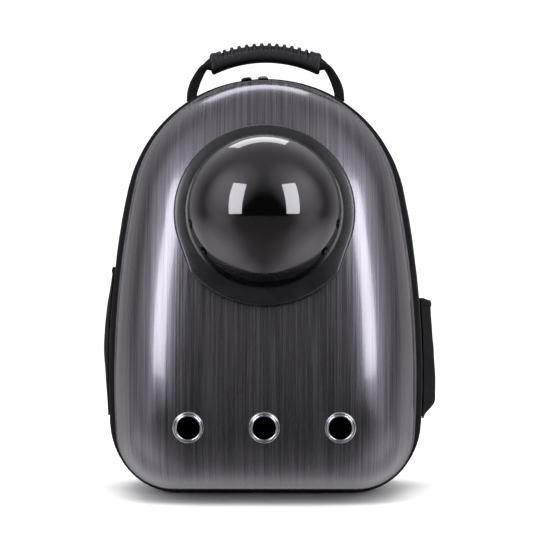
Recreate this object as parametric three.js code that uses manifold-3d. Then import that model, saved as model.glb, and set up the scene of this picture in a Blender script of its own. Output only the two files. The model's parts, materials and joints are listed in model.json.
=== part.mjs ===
// Bubble pet carrier backpack: a hard front shell with a clear bubble, zipped to a soft bag.
// Millimetres, +Z up. The front faces -Y and the bag stands on its flat base at Z = 0.
import * as THREE from 'three';
import { mergeVertices } from 'three/addons/utils/BufferGeometryUtils.js';
import Module from 'manifold-3d';

const wasm = await Module();
wasm.setup();

// Clearances
const GAP = 0.3;              // between neighbouring pieces
const OVERCUT = 2;            // how far a cutting solid runs past what it cuts

// Rim outline, seen from the front
const RIM_HALF_WIDTH = 154;
const RIM_TOP = 422;          // floor to the top of the rim
const RIM_FOOT = 5;           // floor to the straight lower edge of the rim
const CORNER_RADIUS = 60;     // lower corners
const SHOULDER_SHARE = 0.877; // shoulder radius, as a share of the half width
const CROWN_FLATNESS = 14;    // crown radius over the shoulders' own
const FLANK_SHARE = 2.25;     // flank radius, as a share of the height
const WIDEST_SHARE = 0.28;    // height of the widest place, as a share of the height
const LEAST_RADIUS = 4;       // tightest arc of an outline that is drawn in
const OUTLINE_STEPS = { base: 2, corner: 5, flank: 6, shoulder: 5, crown: 3 };

// Hard shell
const SHELL_DEPTH = 118;      // rim to the lower front face
const SHELL_WALL = 2.5;
const FACE_SHARE = 0.403;     // height of the face's middle, as a share of the height
const SHELL_LEAN = 10;        // degrees that the upper front face leans back
const LEAN_START = 90;        // height where the face starts to lean
const LEAN_BLEND = 80;        // height over which the lean comes in
const EDGE_POWER = 6;         // how square the shell is round its edge
const FACE_POWER = 2.2;       // how flat its front face is
const LIP_WIDTH = 2.5;        // rim lip, outside the wall
const LIP_THICKNESS = 3;
const EDGE_ROWS = 9;
const FACE_REACHES = [0.3, 0.12];

// Bubble and its ring
const BUBBLE_HEIGHT = 284.3;  // floor to the bubble's centre
const RING_WIDTH = 11.4;      // dome to the ring's edge
const RING_PROUD = 9;         // ring face above its seat on the shell
const RING_BEVEL = 3;
const RING_STRAIGHT = 17;     // degrees below level where the straight cheeks start
const CHEEK_ANGLE = 40.3;     // degrees below level of the cheek corners
const CHEEK_PROUD = 6.0;      // cheek corners outside the ring's circle
const CHIN_STEP = 2.4;        // step from a cheek corner in to the chin
const CHIN_FLATNESS = 6.4;    // chin radius over the ring's own
const CHIN_DROP = 5.2;        // chin's lowest point below the ring's circle
const RING_COLLAR = 10;       // collar that passes through the shell, behind the seat
const COLLAR_WALL = 2.4;
const DOME_RADIUS = 77.2;
const DOME_HEIGHT = 74;
const DOME_WALL = 2.5;
const DOME_BASE = 3;          // where the dome's curve starts, above the seat
const DOME_FLANGE = 3.6;      // flange outside the dome, held behind the ring
const DOME_FLANGE_THICKNESS = 2.7;
const DOME_SEAT = 1;          // ring lip above the dome's flange, below the seat
const VENT_RADIUS = 4.6;
const VENT_POLAR = 72;        // degrees from the dome's axis
const VENT_BEARINGS = [-14, -38];
const DOME_SEGMENTS = 32;
const DOME_ROWS = 8;

// Eyelets
const EYELET_HEIGHT = 77;
const EYELET_SPACING = 73;
const EYELET_RADIUS = 15.2;
const EYELET_BORE = 11;
const EYELET_PROUD = 2.6;
const EYELET_BARREL_WALL = 1;
const EYELET_BARREL_DEPTH = 6;
const EYELET_SEGMENTS = 18;

// Zipper
const ZIPPER_WIDTH = 10;
const TAPE_THICKNESS = 3;
const TAPE_INSET = 0.5;       // tape surface inside the rim outline
const TEETH_WIDTH = 4.6;
const TEETH_PROUD = 1.5;
const SLIDER_LENGTH = 10.8;
const SLIDER_RISE = 4.8;
const SLIDER_PLACES = { zipper_slider_left: -19, zipper_slider_right: -2.4 };
const PULL_LENGTH = 26;
const PULL_WIDTH = 7;
const PULL_THICKNESS = 1.8;

// Soft bag
const GUSSET_DEPTH = 125;
const GUSSET_BULGE = 10;      // flanks outside the rim outline
const CROWN_BULGE = 3;        // top outside the rim outline
const BACK_ROUND = 18;        // rounding between the gusset and the back
const CLOTH_WALL = 2.5;
const HEM_WIDTH = 6;          // hem that is sewn to the zipper
const HEM_INSET = 3.5;

// Side pockets: their place on the gusset and how far they stand off it
const POCKET_FRONT = 20;      // front seam, from the front of the gusset
const POCKET_BACK = 98;       // back seam
const POCKET_WALL = 2;
const POCKETS = {
  side_pocket_left: { hand: -1, foot: 78, top: 228, standOff: 5.6, hemDrop: 2 },
  side_pocket_right: { hand: 1, foot: 75, top: 196, standOff: 13, hemDrop: 4 },
};

// Back pad
const PAD_MARGIN = 46;        // bag outline to the pad's edge
const PAD_THICKNESS = 13;

// Handle
const HANDLE_BACK = 38;       // rim to the middle of the handle
const GRIP_TOP = 464.8;
const GRIP_THICKNESS = 21;
const GRIP_WIDTH = 25;
const GRIP_HALF_LENGTH = 60.3;
const GRIP_RADIUS = 133;
const RIB_COUNT = 12;
const RIB_SPACING = 7.45;
const RIB_GROOVE = 1.5;
const WEB_WIDTH = 25;
const WEB_THICKNESS = 3.2;
const WEB_TWIST = 17;         // degrees
const HANDLE_ANCHOR = 77;     // middle of the bag to each anchor

// Shoulder straps
const STRAP_WIDTH = 62;
const STRAP_THICKNESS = 10;
const STRAP_ROOT = 42;        // middle of the bag to the middle of each strap's root
const STRAP_ROOT_HEIGHT = 391;
const STRAP_STAND_OFF = 42;   // back of the bag to the middle of the strap at its furthest
const TAIL_WIDTH = 25;
const TAIL_THICKNESS = 2.5;
const TAIL_ANCHOR = 124;      // middle of the bag to each lower anchor
const TAIL_ANCHOR_HEIGHT = 44;
const BUCKLE_WIDTH = 36;
const BUCKLE_LENGTH = 26;
const BUCKLE_THICKNESS = 7;
const BUCKLE_BAR = 6.4;

// Places that follow from the sizes
const SHOULDER_RADIUS = SHOULDER_SHARE * RIM_HALF_WIDTH;
const CROWN_RADIUS = SHOULDER_RADIUS + CROWN_FLATNESS;
const FLANK_RADIUS = FLANK_SHARE * RIM_TOP;
const WIDEST_HEIGHT = WIDEST_SHARE * RIM_TOP;
const FACE_HEIGHT = FACE_SHARE * RIM_TOP;
const GUSSET_FRONT = ZIPPER_WIDTH + 2 * GAP;
const BAG_BACK = GUSSET_FRONT + GUSSET_DEPTH;
const BASE_MIDDLE = GUSSET_FRONT + 0.45 * GUSSET_DEPTH;
const RING_RADIUS = DOME_RADIUS + RING_WIDTH;
const CHIN_RADIUS = RING_RADIUS + CHIN_FLATNESS;
const OPENING_RADIUS = DOME_RADIUS + DOME_FLANGE + GAP + COLLAR_WALL + GAP;

const MATERIALS = {
  shell: { color: '#8d8a8f', roughness: 0.22, metalness: 0.35 },
  ring: { color: '#25262b', roughness: 0.25, metalness: 0 },
  dome: { color: '#3c3a3c', roughness: 0.05, metalness: 0, transparent: true, opacity: 0.55 },
  chrome: { color: '#d8d9dc', roughness: 0.12, metalness: 1 },
  cloth: { color: '#17181b', roughness: 0.85, metalness: 0 },
  zipper: { color: '#1c1d20', roughness: 0.6, metalness: 0 },
  slider: { color: '#6d6e72', roughness: 0.3, metalness: 0.9 },
  rubber: { color: '#1b1c1f', roughness: 0.55, metalness: 0 },
  webbing: { color: '#202125', roughness: 0.8, metalness: 0 },
  buckle: { color: '#141518', roughness: 0.4, metalness: 0 },
};

// Every piece stands in the rim's frame: Y = 0 is the rim, and the whole bag is then set over its base
const bag = new THREE.Group();
bag.position.y = -BASE_MIDDLE;

function addPiece(name, geometry, finish, parent = bag) {
  geometry.computeVertexNormals();
  const mesh = new THREE.Mesh(geometry, new THREE.MeshStandardMaterial(MATERIALS[finish]));
  mesh.name = name;
  parent.add(mesh);
  return mesh;
}

// Solids

function toSolid(geometry) {
  const bare = geometry.clone();
  bare.deleteAttribute('normal');
  bare.deleteAttribute('uv');
  const merged = mergeVertices(bare, 1e-4);
  return new wasm.Manifold(new wasm.Mesh({
    numProp: 3,
    vertProperties: new Float32Array(merged.attributes.position.array),
    triVerts: new Uint32Array(merged.index.array),
  }));
}

function toGeometry(solid) {
  const mesh = solid.getMesh();
  const geometry = new THREE.BufferGeometry();
  geometry.setAttribute('position', new THREE.BufferAttribute(mesh.vertProperties, 3));
  geometry.setIndex(new THREE.BufferAttribute(mesh.triVerts, 1));
  return geometry;
}

function signedVolume(positions, triangles) {
  let volume = 0;
  const corner = new THREE.Vector3();
  for (let i = 0; i < triangles.length; i += 3) {
    const [a, b, c] = [0, 1, 2].map((k) => positions[triangles[i + k]]);
    volume += corner.crossVectors(a, b).dot(c) / 6;
  }
  return volume;
}

// A closed skin through rings of equally many points, capped at both ends or joined into a loop
function loft(rings, { loop = false } = {}) {
  const count = rings[0].length;
  const positions = rings.flat();
  const triangles = [];
  const spans = loop ? rings.length : rings.length - 1;
  for (let row = 0; row < spans; row += 1) {
    const here = row * count;
    const next = ((row + 1) % rings.length) * count;
    for (let i = 0; i < count; i += 1) {
      const j = (i + 1) % count;
      triangles.push(here + i, here + j, next + j, here + i, next + j, next + i);
    }
  }
  if (!loop) {
    [rings[0], rings.at(-1)].forEach((ring, end) => {
      const hub = positions.length;
      const sum = ring.reduce((total, point) => total.add(point), new THREE.Vector3());
      positions.push(sum.divideScalar(count));
      const first = end ? (rings.length - 1) * count : 0;
      for (let i = 0; i < count; i += 1) {
        const j = (i + 1) % count;
        triangles.push(hub, first + (end ? i : j), first + (end ? j : i));
      }
    });
  }
  if (signedVolume(positions, triangles) < 0) triangles.reverse();
  const geometry = new THREE.BufferGeometry().setFromPoints(positions);
  geometry.setIndex(triangles);
  return geometry;
}

function cylinder(radius, from, to, segments) {
  const geometry = new THREE.CylinderGeometry(radius, radius, to - from, segments);
  geometry.rotateX(Math.PI / 2);
  geometry.translate(0, 0, (from + to) / 2);
  return toSolid(geometry);
}

// A lathe about +Z from a profile of [radius, height] pairs
function turned(profile, segments) {
  const points = profile.map(([radius, height]) => new THREE.Vector2(radius, height));
  const geometry = new THREE.LatheGeometry(points, segments);
  geometry.rotateX(Math.PI / 2);
  const solid = toSolid(geometry);
  if (solid.volume() > 0) return solid;
  return toSolid(new THREE.LatheGeometry(points.reverse(), segments).rotateX(Math.PI / 2));
}

function moved(solid, matrix) {
  return solid.transform(matrix.elements);
}

// Bag outline

function angleFrom(centre, point) {
  return Math.atan2(point.y - centre.y, point.x - centre.x);
}

function arc(centre, radius, from, to, steps) {
  return Array.from({ length: steps }, (_, i) => {
    const angle = THREE.MathUtils.lerp(from, to, i / steps);
    return new THREE.Vector2(centre.x + radius * Math.cos(angle), centre.y + radius * Math.sin(angle));
  });
}

// The upper of the two points at these distances from two centres
function upperCrossing(a, fromA, b, fromB) {
  const span = a.distanceTo(b);
  const along = (fromA ** 2 - fromB ** 2 + span ** 2) / (2 * span);
  const aside = Math.sqrt(Math.max(0, fromA ** 2 - along ** 2));
  const way = b.clone().sub(a).divideScalar(span);
  return new THREE.Vector2(a.x + way.x * along - way.y * aside, a.y + way.y * along + way.x * aside);
}

// The rim outline in arcs, grown outwards by its sides, its top and its foot
function bagOutline({ side, top, foot }) {
  const crown = new THREE.Vector2(0, RIM_TOP - CROWN_RADIUS);
  const flank = new THREE.Vector2(RIM_HALF_WIDTH - FLANK_RADIUS, WIDEST_HEIGHT);
  const crownRadius = CROWN_RADIUS + top;
  const flankRadius = FLANK_RADIUS + side;
  const shoulderRadius = Math.max(LEAST_RADIUS, SHOULDER_RADIUS + (side + top) / 2);
  const cornerRadius = Math.max(LEAST_RADIUS, CORNER_RADIUS + Math.min(side, foot));
  const shoulder = upperCrossing(
    flank, flankRadius - shoulderRadius, crown, crownRadius - shoulderRadius);
  const floor = RIM_FOOT - foot;
  const cornerRise = floor + cornerRadius - flank.y;
  const cornerX = flank.x + Math.sqrt((flankRadius - cornerRadius) ** 2 - cornerRise ** 2);
  const corner = new THREE.Vector2(cornerX, floor + cornerRadius);
  const flankStart = angleFrom(flank, corner);
  const flankEnd = angleFrom(flank, shoulder);
  const crownStart = angleFrom(crown, shoulder);
  const base = Array.from({ length: OUTLINE_STEPS.base }, (_, i) => (
    new THREE.Vector2((corner.x * i) / OUTLINE_STEPS.base, floor)));
  const half = [
    ...base,
    ...arc(corner, cornerRadius, -Math.PI / 2, flankStart, OUTLINE_STEPS.corner),
    ...arc(flank, flankRadius, flankStart, flankEnd, OUTLINE_STEPS.flank),
    ...arc(shoulder, shoulderRadius, flankEnd, crownStart, OUTLINE_STEPS.shoulder),
    ...arc(crown, crownRadius, crownStart, Math.PI / 2, OUTLINE_STEPS.crown),
    new THREE.Vector2(0, crown.y + crownRadius),
  ];
  const mirrored = half.slice(1, -1).reverse().map((point) => new THREE.Vector2(-point.x, point.y));
  return [...half, ...mirrored];
}

function evenOutline(grow) {
  return bagOutline({ side: grow, top: grow, foot: grow });
}

function ringAt(outline, y) {
  return outline.map((point) => new THREE.Vector3(point.x, y, point.y));
}

// Height of the crown over a place across the bag
function crownHeight(x, grow) {
  return RIM_TOP - CROWN_RADIUS + Math.sqrt((CROWN_RADIUS + grow) ** 2 - x ** 2);
}

// Hard shell

function faceDepth(height) {
  const rise = Math.max(0, height - LEAN_START);
  const run = rise < LEAN_BLEND ? rise ** 2 / (2 * LEAN_BLEND) : rise - LEAN_BLEND / 2;
  return SHELL_DEPTH - run * Math.tan(THREE.MathUtils.degToRad(SHELL_LEAN));
}

// Share of the face's depth that is reached at a share of the way from the face's middle to the rim
function faceLift(reach) {
  return Math.max(0, 1 - reach ** EDGE_POWER) ** (1 / FACE_POWER);
}

function shellReaches() {
  const edge = Array.from({ length: EDGE_ROWS }, (_, i) => (
    Math.cos((i / EDGE_ROWS) * (Math.PI / 2)) ** (2 / EDGE_POWER)));
  return [...edge, ...FACE_REACHES];
}

// The shell as a full body; grow moves its surface outwards, and skirt carries it back past the rim
function shellBody(grow, skirt = 0) {
  const outline = evenOutline(grow - LIP_WIDTH);
  const rings = shellReaches().map((reach) => outline.map((point) => {
    const height = FACE_HEIGHT + (point.y - FACE_HEIGHT) * reach;
    const y = -(faceDepth(height) + grow) * faceLift(reach);
    return new THREE.Vector3(point.x * reach, y, height);
  }));
  if (skirt > 0) rings.unshift(ringAt(outline, skirt));
  return toSolid(loft(rings));
}

// Share of the way from the face's middle to the rim at a place on the front
function reachAt(x, height) {
  const outline = evenOutline(-LIP_WIDTH);
  const way = new THREE.Vector2(x, height - FACE_HEIGHT);
  let reach = 0;
  outline.forEach((point, i) => {
    const a = new THREE.Vector2(point.x, point.y - FACE_HEIGHT);
    const next = outline[(i + 1) % outline.length];
    const edge = new THREE.Vector2(next.x, next.y - FACE_HEIGHT).sub(a);
    const turn = way.cross(edge);
    if (turn <= 0) return;
    const along = a.cross(way) / turn;
    if (along >= -1e-9 && along <= 1) reach = turn / a.cross(edge);
  });
  return reach;
}

function facePoint(x, height) {
  return new THREE.Vector3(x, -faceDepth(height) * faceLift(reachAt(x, height)), height);
}

// A frame on the shell's face: X to the right, Y up along the face, Z outwards
function faceFrame(low, high, middle) {
  const right = new THREE.Vector3(1, 0, 0);
  const up = high.clone().sub(low).normalize();
  const out = new THREE.Vector3().crossVectors(right, up);
  return new THREE.Matrix4().makeBasis(right, up, out).setPosition(middle);
}

function bubbleFrame() {
  const low = facePoint(0, BUBBLE_HEIGHT - RING_RADIUS);
  const high = facePoint(0, BUBBLE_HEIGHT + RING_RADIUS);
  return faceFrame(low, high, low.clone().add(high).divideScalar(2));
}

function eyeletFrame(x) {
  const low = facePoint(x, EYELET_HEIGHT - EYELET_RADIUS);
  const high = facePoint(x, EYELET_HEIGHT + EYELET_RADIUS);
  return faceFrame(low, high, facePoint(x, EYELET_HEIGHT));
}

const EYELETS = {
  eyelet_left: -EYELET_SPACING,
  eyelet_middle: 0,
  eyelet_right: EYELET_SPACING,
};
const bubblePlace = bubbleFrame();
const shellOutside = shellBody(0);
const shellClear = shellBody(GAP, OVERCUT);

function hardShell() {
  const barrel = EYELET_BORE + EYELET_BARREL_WALL + GAP;
  const lip = toSolid(loft([ringAt(evenOutline(0), -LIP_THICKNESS), ringAt(evenOutline(0), 0)]));
  let shell = shellOutside.add(lip).subtract(shellBody(-SHELL_WALL, OVERCUT));
  const opening = cylinder(OPENING_RADIUS, -SHELL_DEPTH / 2, SHELL_DEPTH / 2, 2 * DOME_SEGMENTS);
  shell = shell.subtract(moved(opening, bubblePlace));
  Object.values(EYELETS).forEach((x) => {
    const hole = cylinder(barrel, -SHELL_DEPTH / 4, SHELL_DEPTH / 4, EYELET_SEGMENTS);
    shell = shell.subtract(moved(hole, eyeletFrame(x)));
  });
  return toGeometry(shell);
}

// Bubble ring and dome, in the bubble's own frame

function ringShape() {
  const start = THREE.MathUtils.degToRad(RING_STRAIGHT);
  const cheek = THREE.MathUtils.degToRad(CHEEK_ANGLE);
  const cheekRadius = RING_RADIUS + CHEEK_PROUD;
  const cheekX = cheekRadius * Math.cos(cheek);
  const cheekY = -cheekRadius * Math.sin(cheek);
  const chinX = cheekX - CHIN_STEP;
  const chinEnd = Math.acos(chinX / CHIN_RADIUS);
  const chinCentre = CHIN_FLATNESS - CHIN_DROP;
  const shape = new THREE.Shape();
  shape.absarc(0, 0, RING_RADIUS, -start, Math.PI + start, false);
  shape.lineTo(-cheekX, cheekY);
  shape.absarc(0, chinCentre, CHIN_RADIUS, Math.PI + chinEnd, 2 * Math.PI - chinEnd, false);
  shape.lineTo(cheekX, cheekY);
  return shape;
}

function bubbleRing() {
  const flange = new THREE.ExtrudeGeometry(ringShape(), {
    depth: RING_COLLAR + RING_PROUD - RING_BEVEL,
    bevelThickness: RING_BEVEL,
    bevelSize: RING_BEVEL,
    bevelOffset: -RING_BEVEL,
    bevelSegments: 2,
    curveSegments: DOME_SEGMENTS / 2,
  });
  flange.translate(0, 0, -RING_COLLAR);
  const bore = DOME_RADIUS + GAP;
  const pocket = bore + DOME_FLANGE;
  const seated = toSolid(flange).subtract(moved(shellClear, bubblePlace.clone().invert()));
  const collar = cylinder(pocket + COLLAR_WALL, -RING_COLLAR, RING_BEVEL, 2 * DOME_SEGMENTS);
  return toGeometry(seated
    .add(collar)
    .subtract(cylinder(bore, -2 * RING_COLLAR, 2 * RING_PROUD, 2 * DOME_SEGMENTS))
    .subtract(cylinder(pocket, -2 * RING_COLLAR, -DOME_SEAT, 2 * DOME_SEGMENTS)));
}

function domeArc(radius, height) {
  return Array.from({ length: DOME_ROWS + 1 }, (_, i) => {
    const angle = (i / DOME_ROWS) * (Math.PI / 2);
    return [radius * Math.cos(angle), DOME_BASE + height * Math.sin(angle)];
  });
}

function bubbleDome() {
  const flangeTop = -DOME_SEAT - GAP;
  const flangeFoot = flangeTop - DOME_FLANGE_THICKNESS;
  const flange = DOME_RADIUS + DOME_FLANGE;
  const inside = domeArc(DOME_RADIUS - DOME_WALL, DOME_HEIGHT - DOME_WALL);
  const outside = domeArc(DOME_RADIUS, DOME_HEIGHT);
  inside.at(-1)[0] = 0;
  outside.at(-1)[0] = 0;
  let dome = turned([
    ...inside.reverse(),
    [DOME_RADIUS - DOME_WALL, flangeFoot],
    [flange, flangeFoot],
    [flange, flangeTop],
    [DOME_RADIUS, flangeTop],
    ...outside,
  ], DOME_SEGMENTS);
  const polar = THREE.MathUtils.degToRad(VENT_POLAR);
  VENT_BEARINGS.forEach((bearing) => {
    [bearing, 180 - bearing].forEach((degrees) => {
      const turn = THREE.MathUtils.degToRad(degrees);
      const place = new THREE.Matrix4().makeRotationZ(turn)
        .multiply(new THREE.Matrix4().makeRotationY(polar))
        .setPosition(0, 0, DOME_BASE);
      dome = dome.subtract(moved(cylinder(VENT_RADIUS, DOME_RADIUS / 2, 2 * DOME_RADIUS, 12), place));
    });
  });
  return toGeometry(dome);
}

function eyelet(place) {
  const barrel = EYELET_BORE + EYELET_BARREL_WALL;
  const edge = EYELET_PROUD / 2;
  const flange = turned([
    [EYELET_BORE, -EYELET_BARREL_DEPTH],
    [EYELET_RADIUS, -EYELET_BARREL_DEPTH],
    [EYELET_RADIUS, edge],
    [EYELET_RADIUS - edge, EYELET_PROUD],
    [barrel + edge / 2, EYELET_PROUD],
    [EYELET_BORE, edge],
    [EYELET_BORE, -EYELET_BARREL_DEPTH],
  ], EYELET_SEGMENTS);
  const tube = turned([
    [EYELET_BORE, -EYELET_BARREL_DEPTH],
    [barrel, -EYELET_BARREL_DEPTH],
    [barrel, edge],
    [EYELET_BORE, edge],
    [EYELET_BORE, -EYELET_BARREL_DEPTH],
  ], EYELET_SEGMENTS);
  return toGeometry(flange.subtract(moved(shellClear, place.clone().invert())).add(tube));
}

// Zipper

// A band that follows the whole rim, from a section of points: back from the rim, and outwards
function rimBand(section, grow = 0) {
  return loft(section.map(({ back, out }) => ringAt(evenOutline(out + grow), back)), { loop: true });
}

function zipperSection(grow) {
  const teethFront = GAP + (ZIPPER_WIDTH - TEETH_WIDTH) / 2 - grow;
  const teethBack = teethFront + TEETH_WIDTH + 2 * grow;
  const tape = -TAPE_INSET + grow;
  const inside = -TAPE_INSET - TAPE_THICKNESS - grow;
  const front = GAP - grow;
  const back = GAP + ZIPPER_WIDTH + grow;
  return [
    { back: front, out: inside },
    { back: front, out: tape },
    { back: teethFront, out: tape },
    { back: teethFront, out: tape + TEETH_PROUD },
    { back: teethBack, out: tape + TEETH_PROUD },
    { back: teethBack, out: tape },
    { back, out: tape },
    { back, out: inside },
  ];
}

// A frame on top of the rim: X along the outline, Y to the back, Z outwards
function crownFrame(x, grow, back) {
  const lean = Math.asin(x / (CROWN_RADIUS + grow));
  return new THREE.Matrix4().makeRotationY(lean).setPosition(x, back, crownHeight(x, grow));
}

function sliderBody() {
  const rounding = SLIDER_RISE / 3;
  const profile = new THREE.Shape([
    new THREE.Vector2(-SLIDER_LENGTH / 2, 0),
    new THREE.Vector2(SLIDER_LENGTH / 2, 0),
    new THREE.Vector2(SLIDER_LENGTH / 2, SLIDER_RISE - rounding),
    new THREE.Vector2(SLIDER_LENGTH / 2 - rounding, SLIDER_RISE),
    new THREE.Vector2(-SLIDER_LENGTH / 2 + rounding, SLIDER_RISE),
    new THREE.Vector2(-SLIDER_LENGTH / 2, SLIDER_RISE - rounding),
  ]);
  const geometry = new THREE.ExtrudeGeometry(profile, { depth: ZIPPER_WIDTH, bevelEnabled: false });
  geometry.rotateX(Math.PI / 2);
  geometry.translate(0, ZIPPER_WIDTH / 2, 0);
  return toSolid(geometry);
}

function slider(place) {
  const clear = toSolid(rimBand(zipperSection(GAP)));
  return toGeometry(sliderBody().subtract(moved(clear, place.clone().invert())));
}

// Soft bag: where each row lies along the gusset, its share of the bulge and of the back rounding
const GUSSET_ROWS = [
  { back: 0, bulge: 0.45, round: 0 },
  { back: 0.08, bulge: 0.75, round: 0 },
  { back: 0.35, bulge: 1, round: 0 },
  { back: 0.62, bulge: 0.9, round: 0 },
  { back: 0.86, bulge: 0.5, round: 0 },
  { back: 0.94, bulge: 0.35, round: 0.16 },
  { back: 0.98, bulge: 0.2, round: 0.48 },
  { back: 1, bulge: 0.1, round: 1 },
];

function gussetOutline({ bulge, round }, grow) {
  const taken = grow - BACK_ROUND * round;
  return bagOutline({
    side: GUSSET_BULGE * bulge + taken,
    top: CROWN_BULGE * bulge + taken,
    foot: RIM_FOOT + taken,
  });
}

// The bag as a full body, grown outwards, between two places behind the rim
function gussetBody(grow, front, back) {
  return GUSSET_ROWS.map((row) => (
    ringAt(gussetOutline(row, grow), THREE.MathUtils.lerp(front, back, row.back))));
}

const bagClear = toSolid(loft(gussetBody(GAP, GUSSET_FRONT, BAG_BACK + GAP)));

// What ends on the bag is cut off just clear of it
function seatedOnBag(geometry) {
  return toGeometry(toSolid(geometry).subtract(bagClear));
}

function fabricBody() {
  const outside = toSolid(loft(gussetBody(0, GUSSET_FRONT, BAG_BACK)));
  const hem = evenOutline(-HEM_INSET);
  const hemBack = GUSSET_FRONT + HEM_WIDTH;
  const hollow = toSolid(loft(gussetBody(-CLOTH_WALL, hemBack, BAG_BACK - CLOTH_WALL)));
  const mouth = toSolid(loft([ringAt(hem, GUSSET_FRONT - OVERCUT), ringAt(hem, hemBack + OVERCUT)]));
  return toGeometry(outside.subtract(hollow.add(mouth)));
}

// Side pockets: how much of the stand-off each height has
const POCKET_ROWS = [
  { up: 0, standOff: 0.15 },
  { up: 0.15, standOff: 1 },
  { up: 0.36, standOff: 0.96 },
  { up: 0.68, standOff: 0.88 },
  { up: 1, standOff: 0.8 },
];

// Across a pocket from its front seam to its back seam
const POCKET_COLUMNS = [
  { across: 0, standOff: 0 },
  { across: 0.03, standOff: 0.8 },
  { across: 0.16, standOff: 0.97 },
  { across: 0.5, standOff: 1.06 },
  { across: 0.84, standOff: 0.97 },
  { across: 0.97, standOff: 0.8 },
  { across: 1, standOff: 0 },
];

function flankX(height, grow) {
  const radius = FLANK_RADIUS + grow;
  return RIM_HALF_WIDTH - FLANK_RADIUS + Math.sqrt(radius ** 2 - (height - WIDEST_HEIGHT) ** 2);
}

function pouch({ hand, foot, top, standOff, hemDrop }, inset) {
  const depth = POCKET_BACK - POCKET_FRONT - 2 * inset;
  const low = foot + inset;
  const height = top - low;
  const over = { up: 1 + OVERCUT / height, standOff: POCKET_ROWS.at(-1).standOff };
  const rows = inset > 0 ? [...POCKET_ROWS, over] : POCKET_ROWS;
  const rings = rows.map((row) => {
    const wall = POCKET_COLUMNS.map((column) => {
      const share = row.standOff * column.standOff;
      const z = low + height * row.up - (row.up >= 1 && inset === 0 ? hemDrop * share : 0);
      const proud = Math.max(0, standOff * share - inset);
      const y = GUSSET_FRONT + POCKET_FRONT + inset + depth * column.across;
      return new THREE.Vector3(hand * (flankX(z, GUSSET_BULGE) + proud), y, z);
    });
    const z = low + height * row.up;
    const inner = [1, 0].map((across) => new THREE.Vector3(
      hand * (flankX(z, 0) - GUSSET_BULGE),
      GUSSET_FRONT + POCKET_FRONT + inset + depth * across,
      z));
    return [...wall, ...inner];
  });
  return toSolid(loft(rings));
}

function sidePocket(spec) {
  return toGeometry(pouch(spec, 0).subtract(pouch(spec, POCKET_WALL)).subtract(bagClear));
}

// Back pad: how far each layer stands off the bag's back and pulls in from the pad's edge
const PAD_LAYERS = [
  { out: 0, inset: 5 },
  { out: 0.25, inset: 0 },
  { out: 0.7, inset: 2 },
  { out: 1, inset: 16 },
];

function backPad() {
  return loft(PAD_LAYERS.map(({ out, inset }) => (
    ringAt(evenOutline(-PAD_MARGIN - inset), BAG_BACK + GAP + PAD_THICKNESS * out))));
}

// Bands of webbing and padding

// A flat section with its corners taken off, as [across, thick] pairs
function flatSection(width, thickness) {
  const w = width / 2;
  const t = thickness / 2;
  const c = t * 0.6;
  return [[-w, -t + c], [-w + c, -t], [w - c, -t], [w, -t + c], [w, t - c], [w - c, t], [-w + c, t], [-w, t - c]];
}

// A band along a curve, whose section is laid across the way that across(share) gives
function bandAlong(curve, steps, section, across) {
  const rings = [];
  for (let i = 0; i <= steps; i += 1) {
    const share = i / steps;
    const centre = curve.getPointAt(share);
    const along = curve.getTangentAt(share);
    const wide = across(share).projectOnPlane(along).normalize();
    const thick = new THREE.Vector3().crossVectors(along, wide);
    rings.push(section(share).map(([w, t]) => (
      centre.clone().addScaledVector(wide, w).addScaledVector(thick, t))));
  }
  return loft(rings);
}

// Handle

const gripCentre = new THREE.Vector3(0, HANDLE_BACK, GRIP_TOP - GRIP_THICKNESS / 2 - GRIP_RADIUS);
const gripAngle = Math.asin(GRIP_HALF_LENGTH / GRIP_RADIUS);

// A ring of the grip's section at an angle along its arc, with its ribbed back lowered by a groove
function gripRing(angle, groove, shrink) {
  const w = (GRIP_WIDTH / 2) * shrink;
  const t = (GRIP_THICKNESS / 2) * shrink;
  const section = [
    [-w * 0.62, -t], [w * 0.62, -t], [w, -t * 0.55], [w, t * 0.1],
    [w - groove, t * 0.45], [w * 0.7 - groove / 2, t * 0.85 - groove], [0, t - groove],
    [-w * 0.7 + groove / 2, t * 0.85 - groove], [-w + groove, t * 0.45], [-w, t * 0.1], [-w, -t * 0.55],
  ];
  return section.map(([across, up]) => new THREE.Vector3(
    Math.sin(angle) * (GRIP_RADIUS + up),
    gripCentre.y + across,
    gripCentre.z + Math.cos(angle) * (GRIP_RADIUS + up)));
}

function handleGrip() {
  const ribAngle = RIB_SPACING / GRIP_RADIUS;
  const first = -(RIB_COUNT * ribAngle) / 2;
  const rings = [gripRing(-gripAngle, 0, 0.72), gripRing(-gripAngle * 0.95, 0, 1)];
  for (let rib = 0; rib <= RIB_COUNT; rib += 1) {
    const groove = first + rib * ribAngle;
    rings.push(gripRing(groove - ribAngle * 0.2, 0, 1), gripRing(groove, RIB_GROOVE, 1));
    rings.push(gripRing(groove + ribAngle * 0.2, 0, 1));
  }
  rings.push(gripRing(gripAngle * 0.95, 0, 1), gripRing(gripAngle, 0, 0.72));
  return loft(rings);
}

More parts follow.
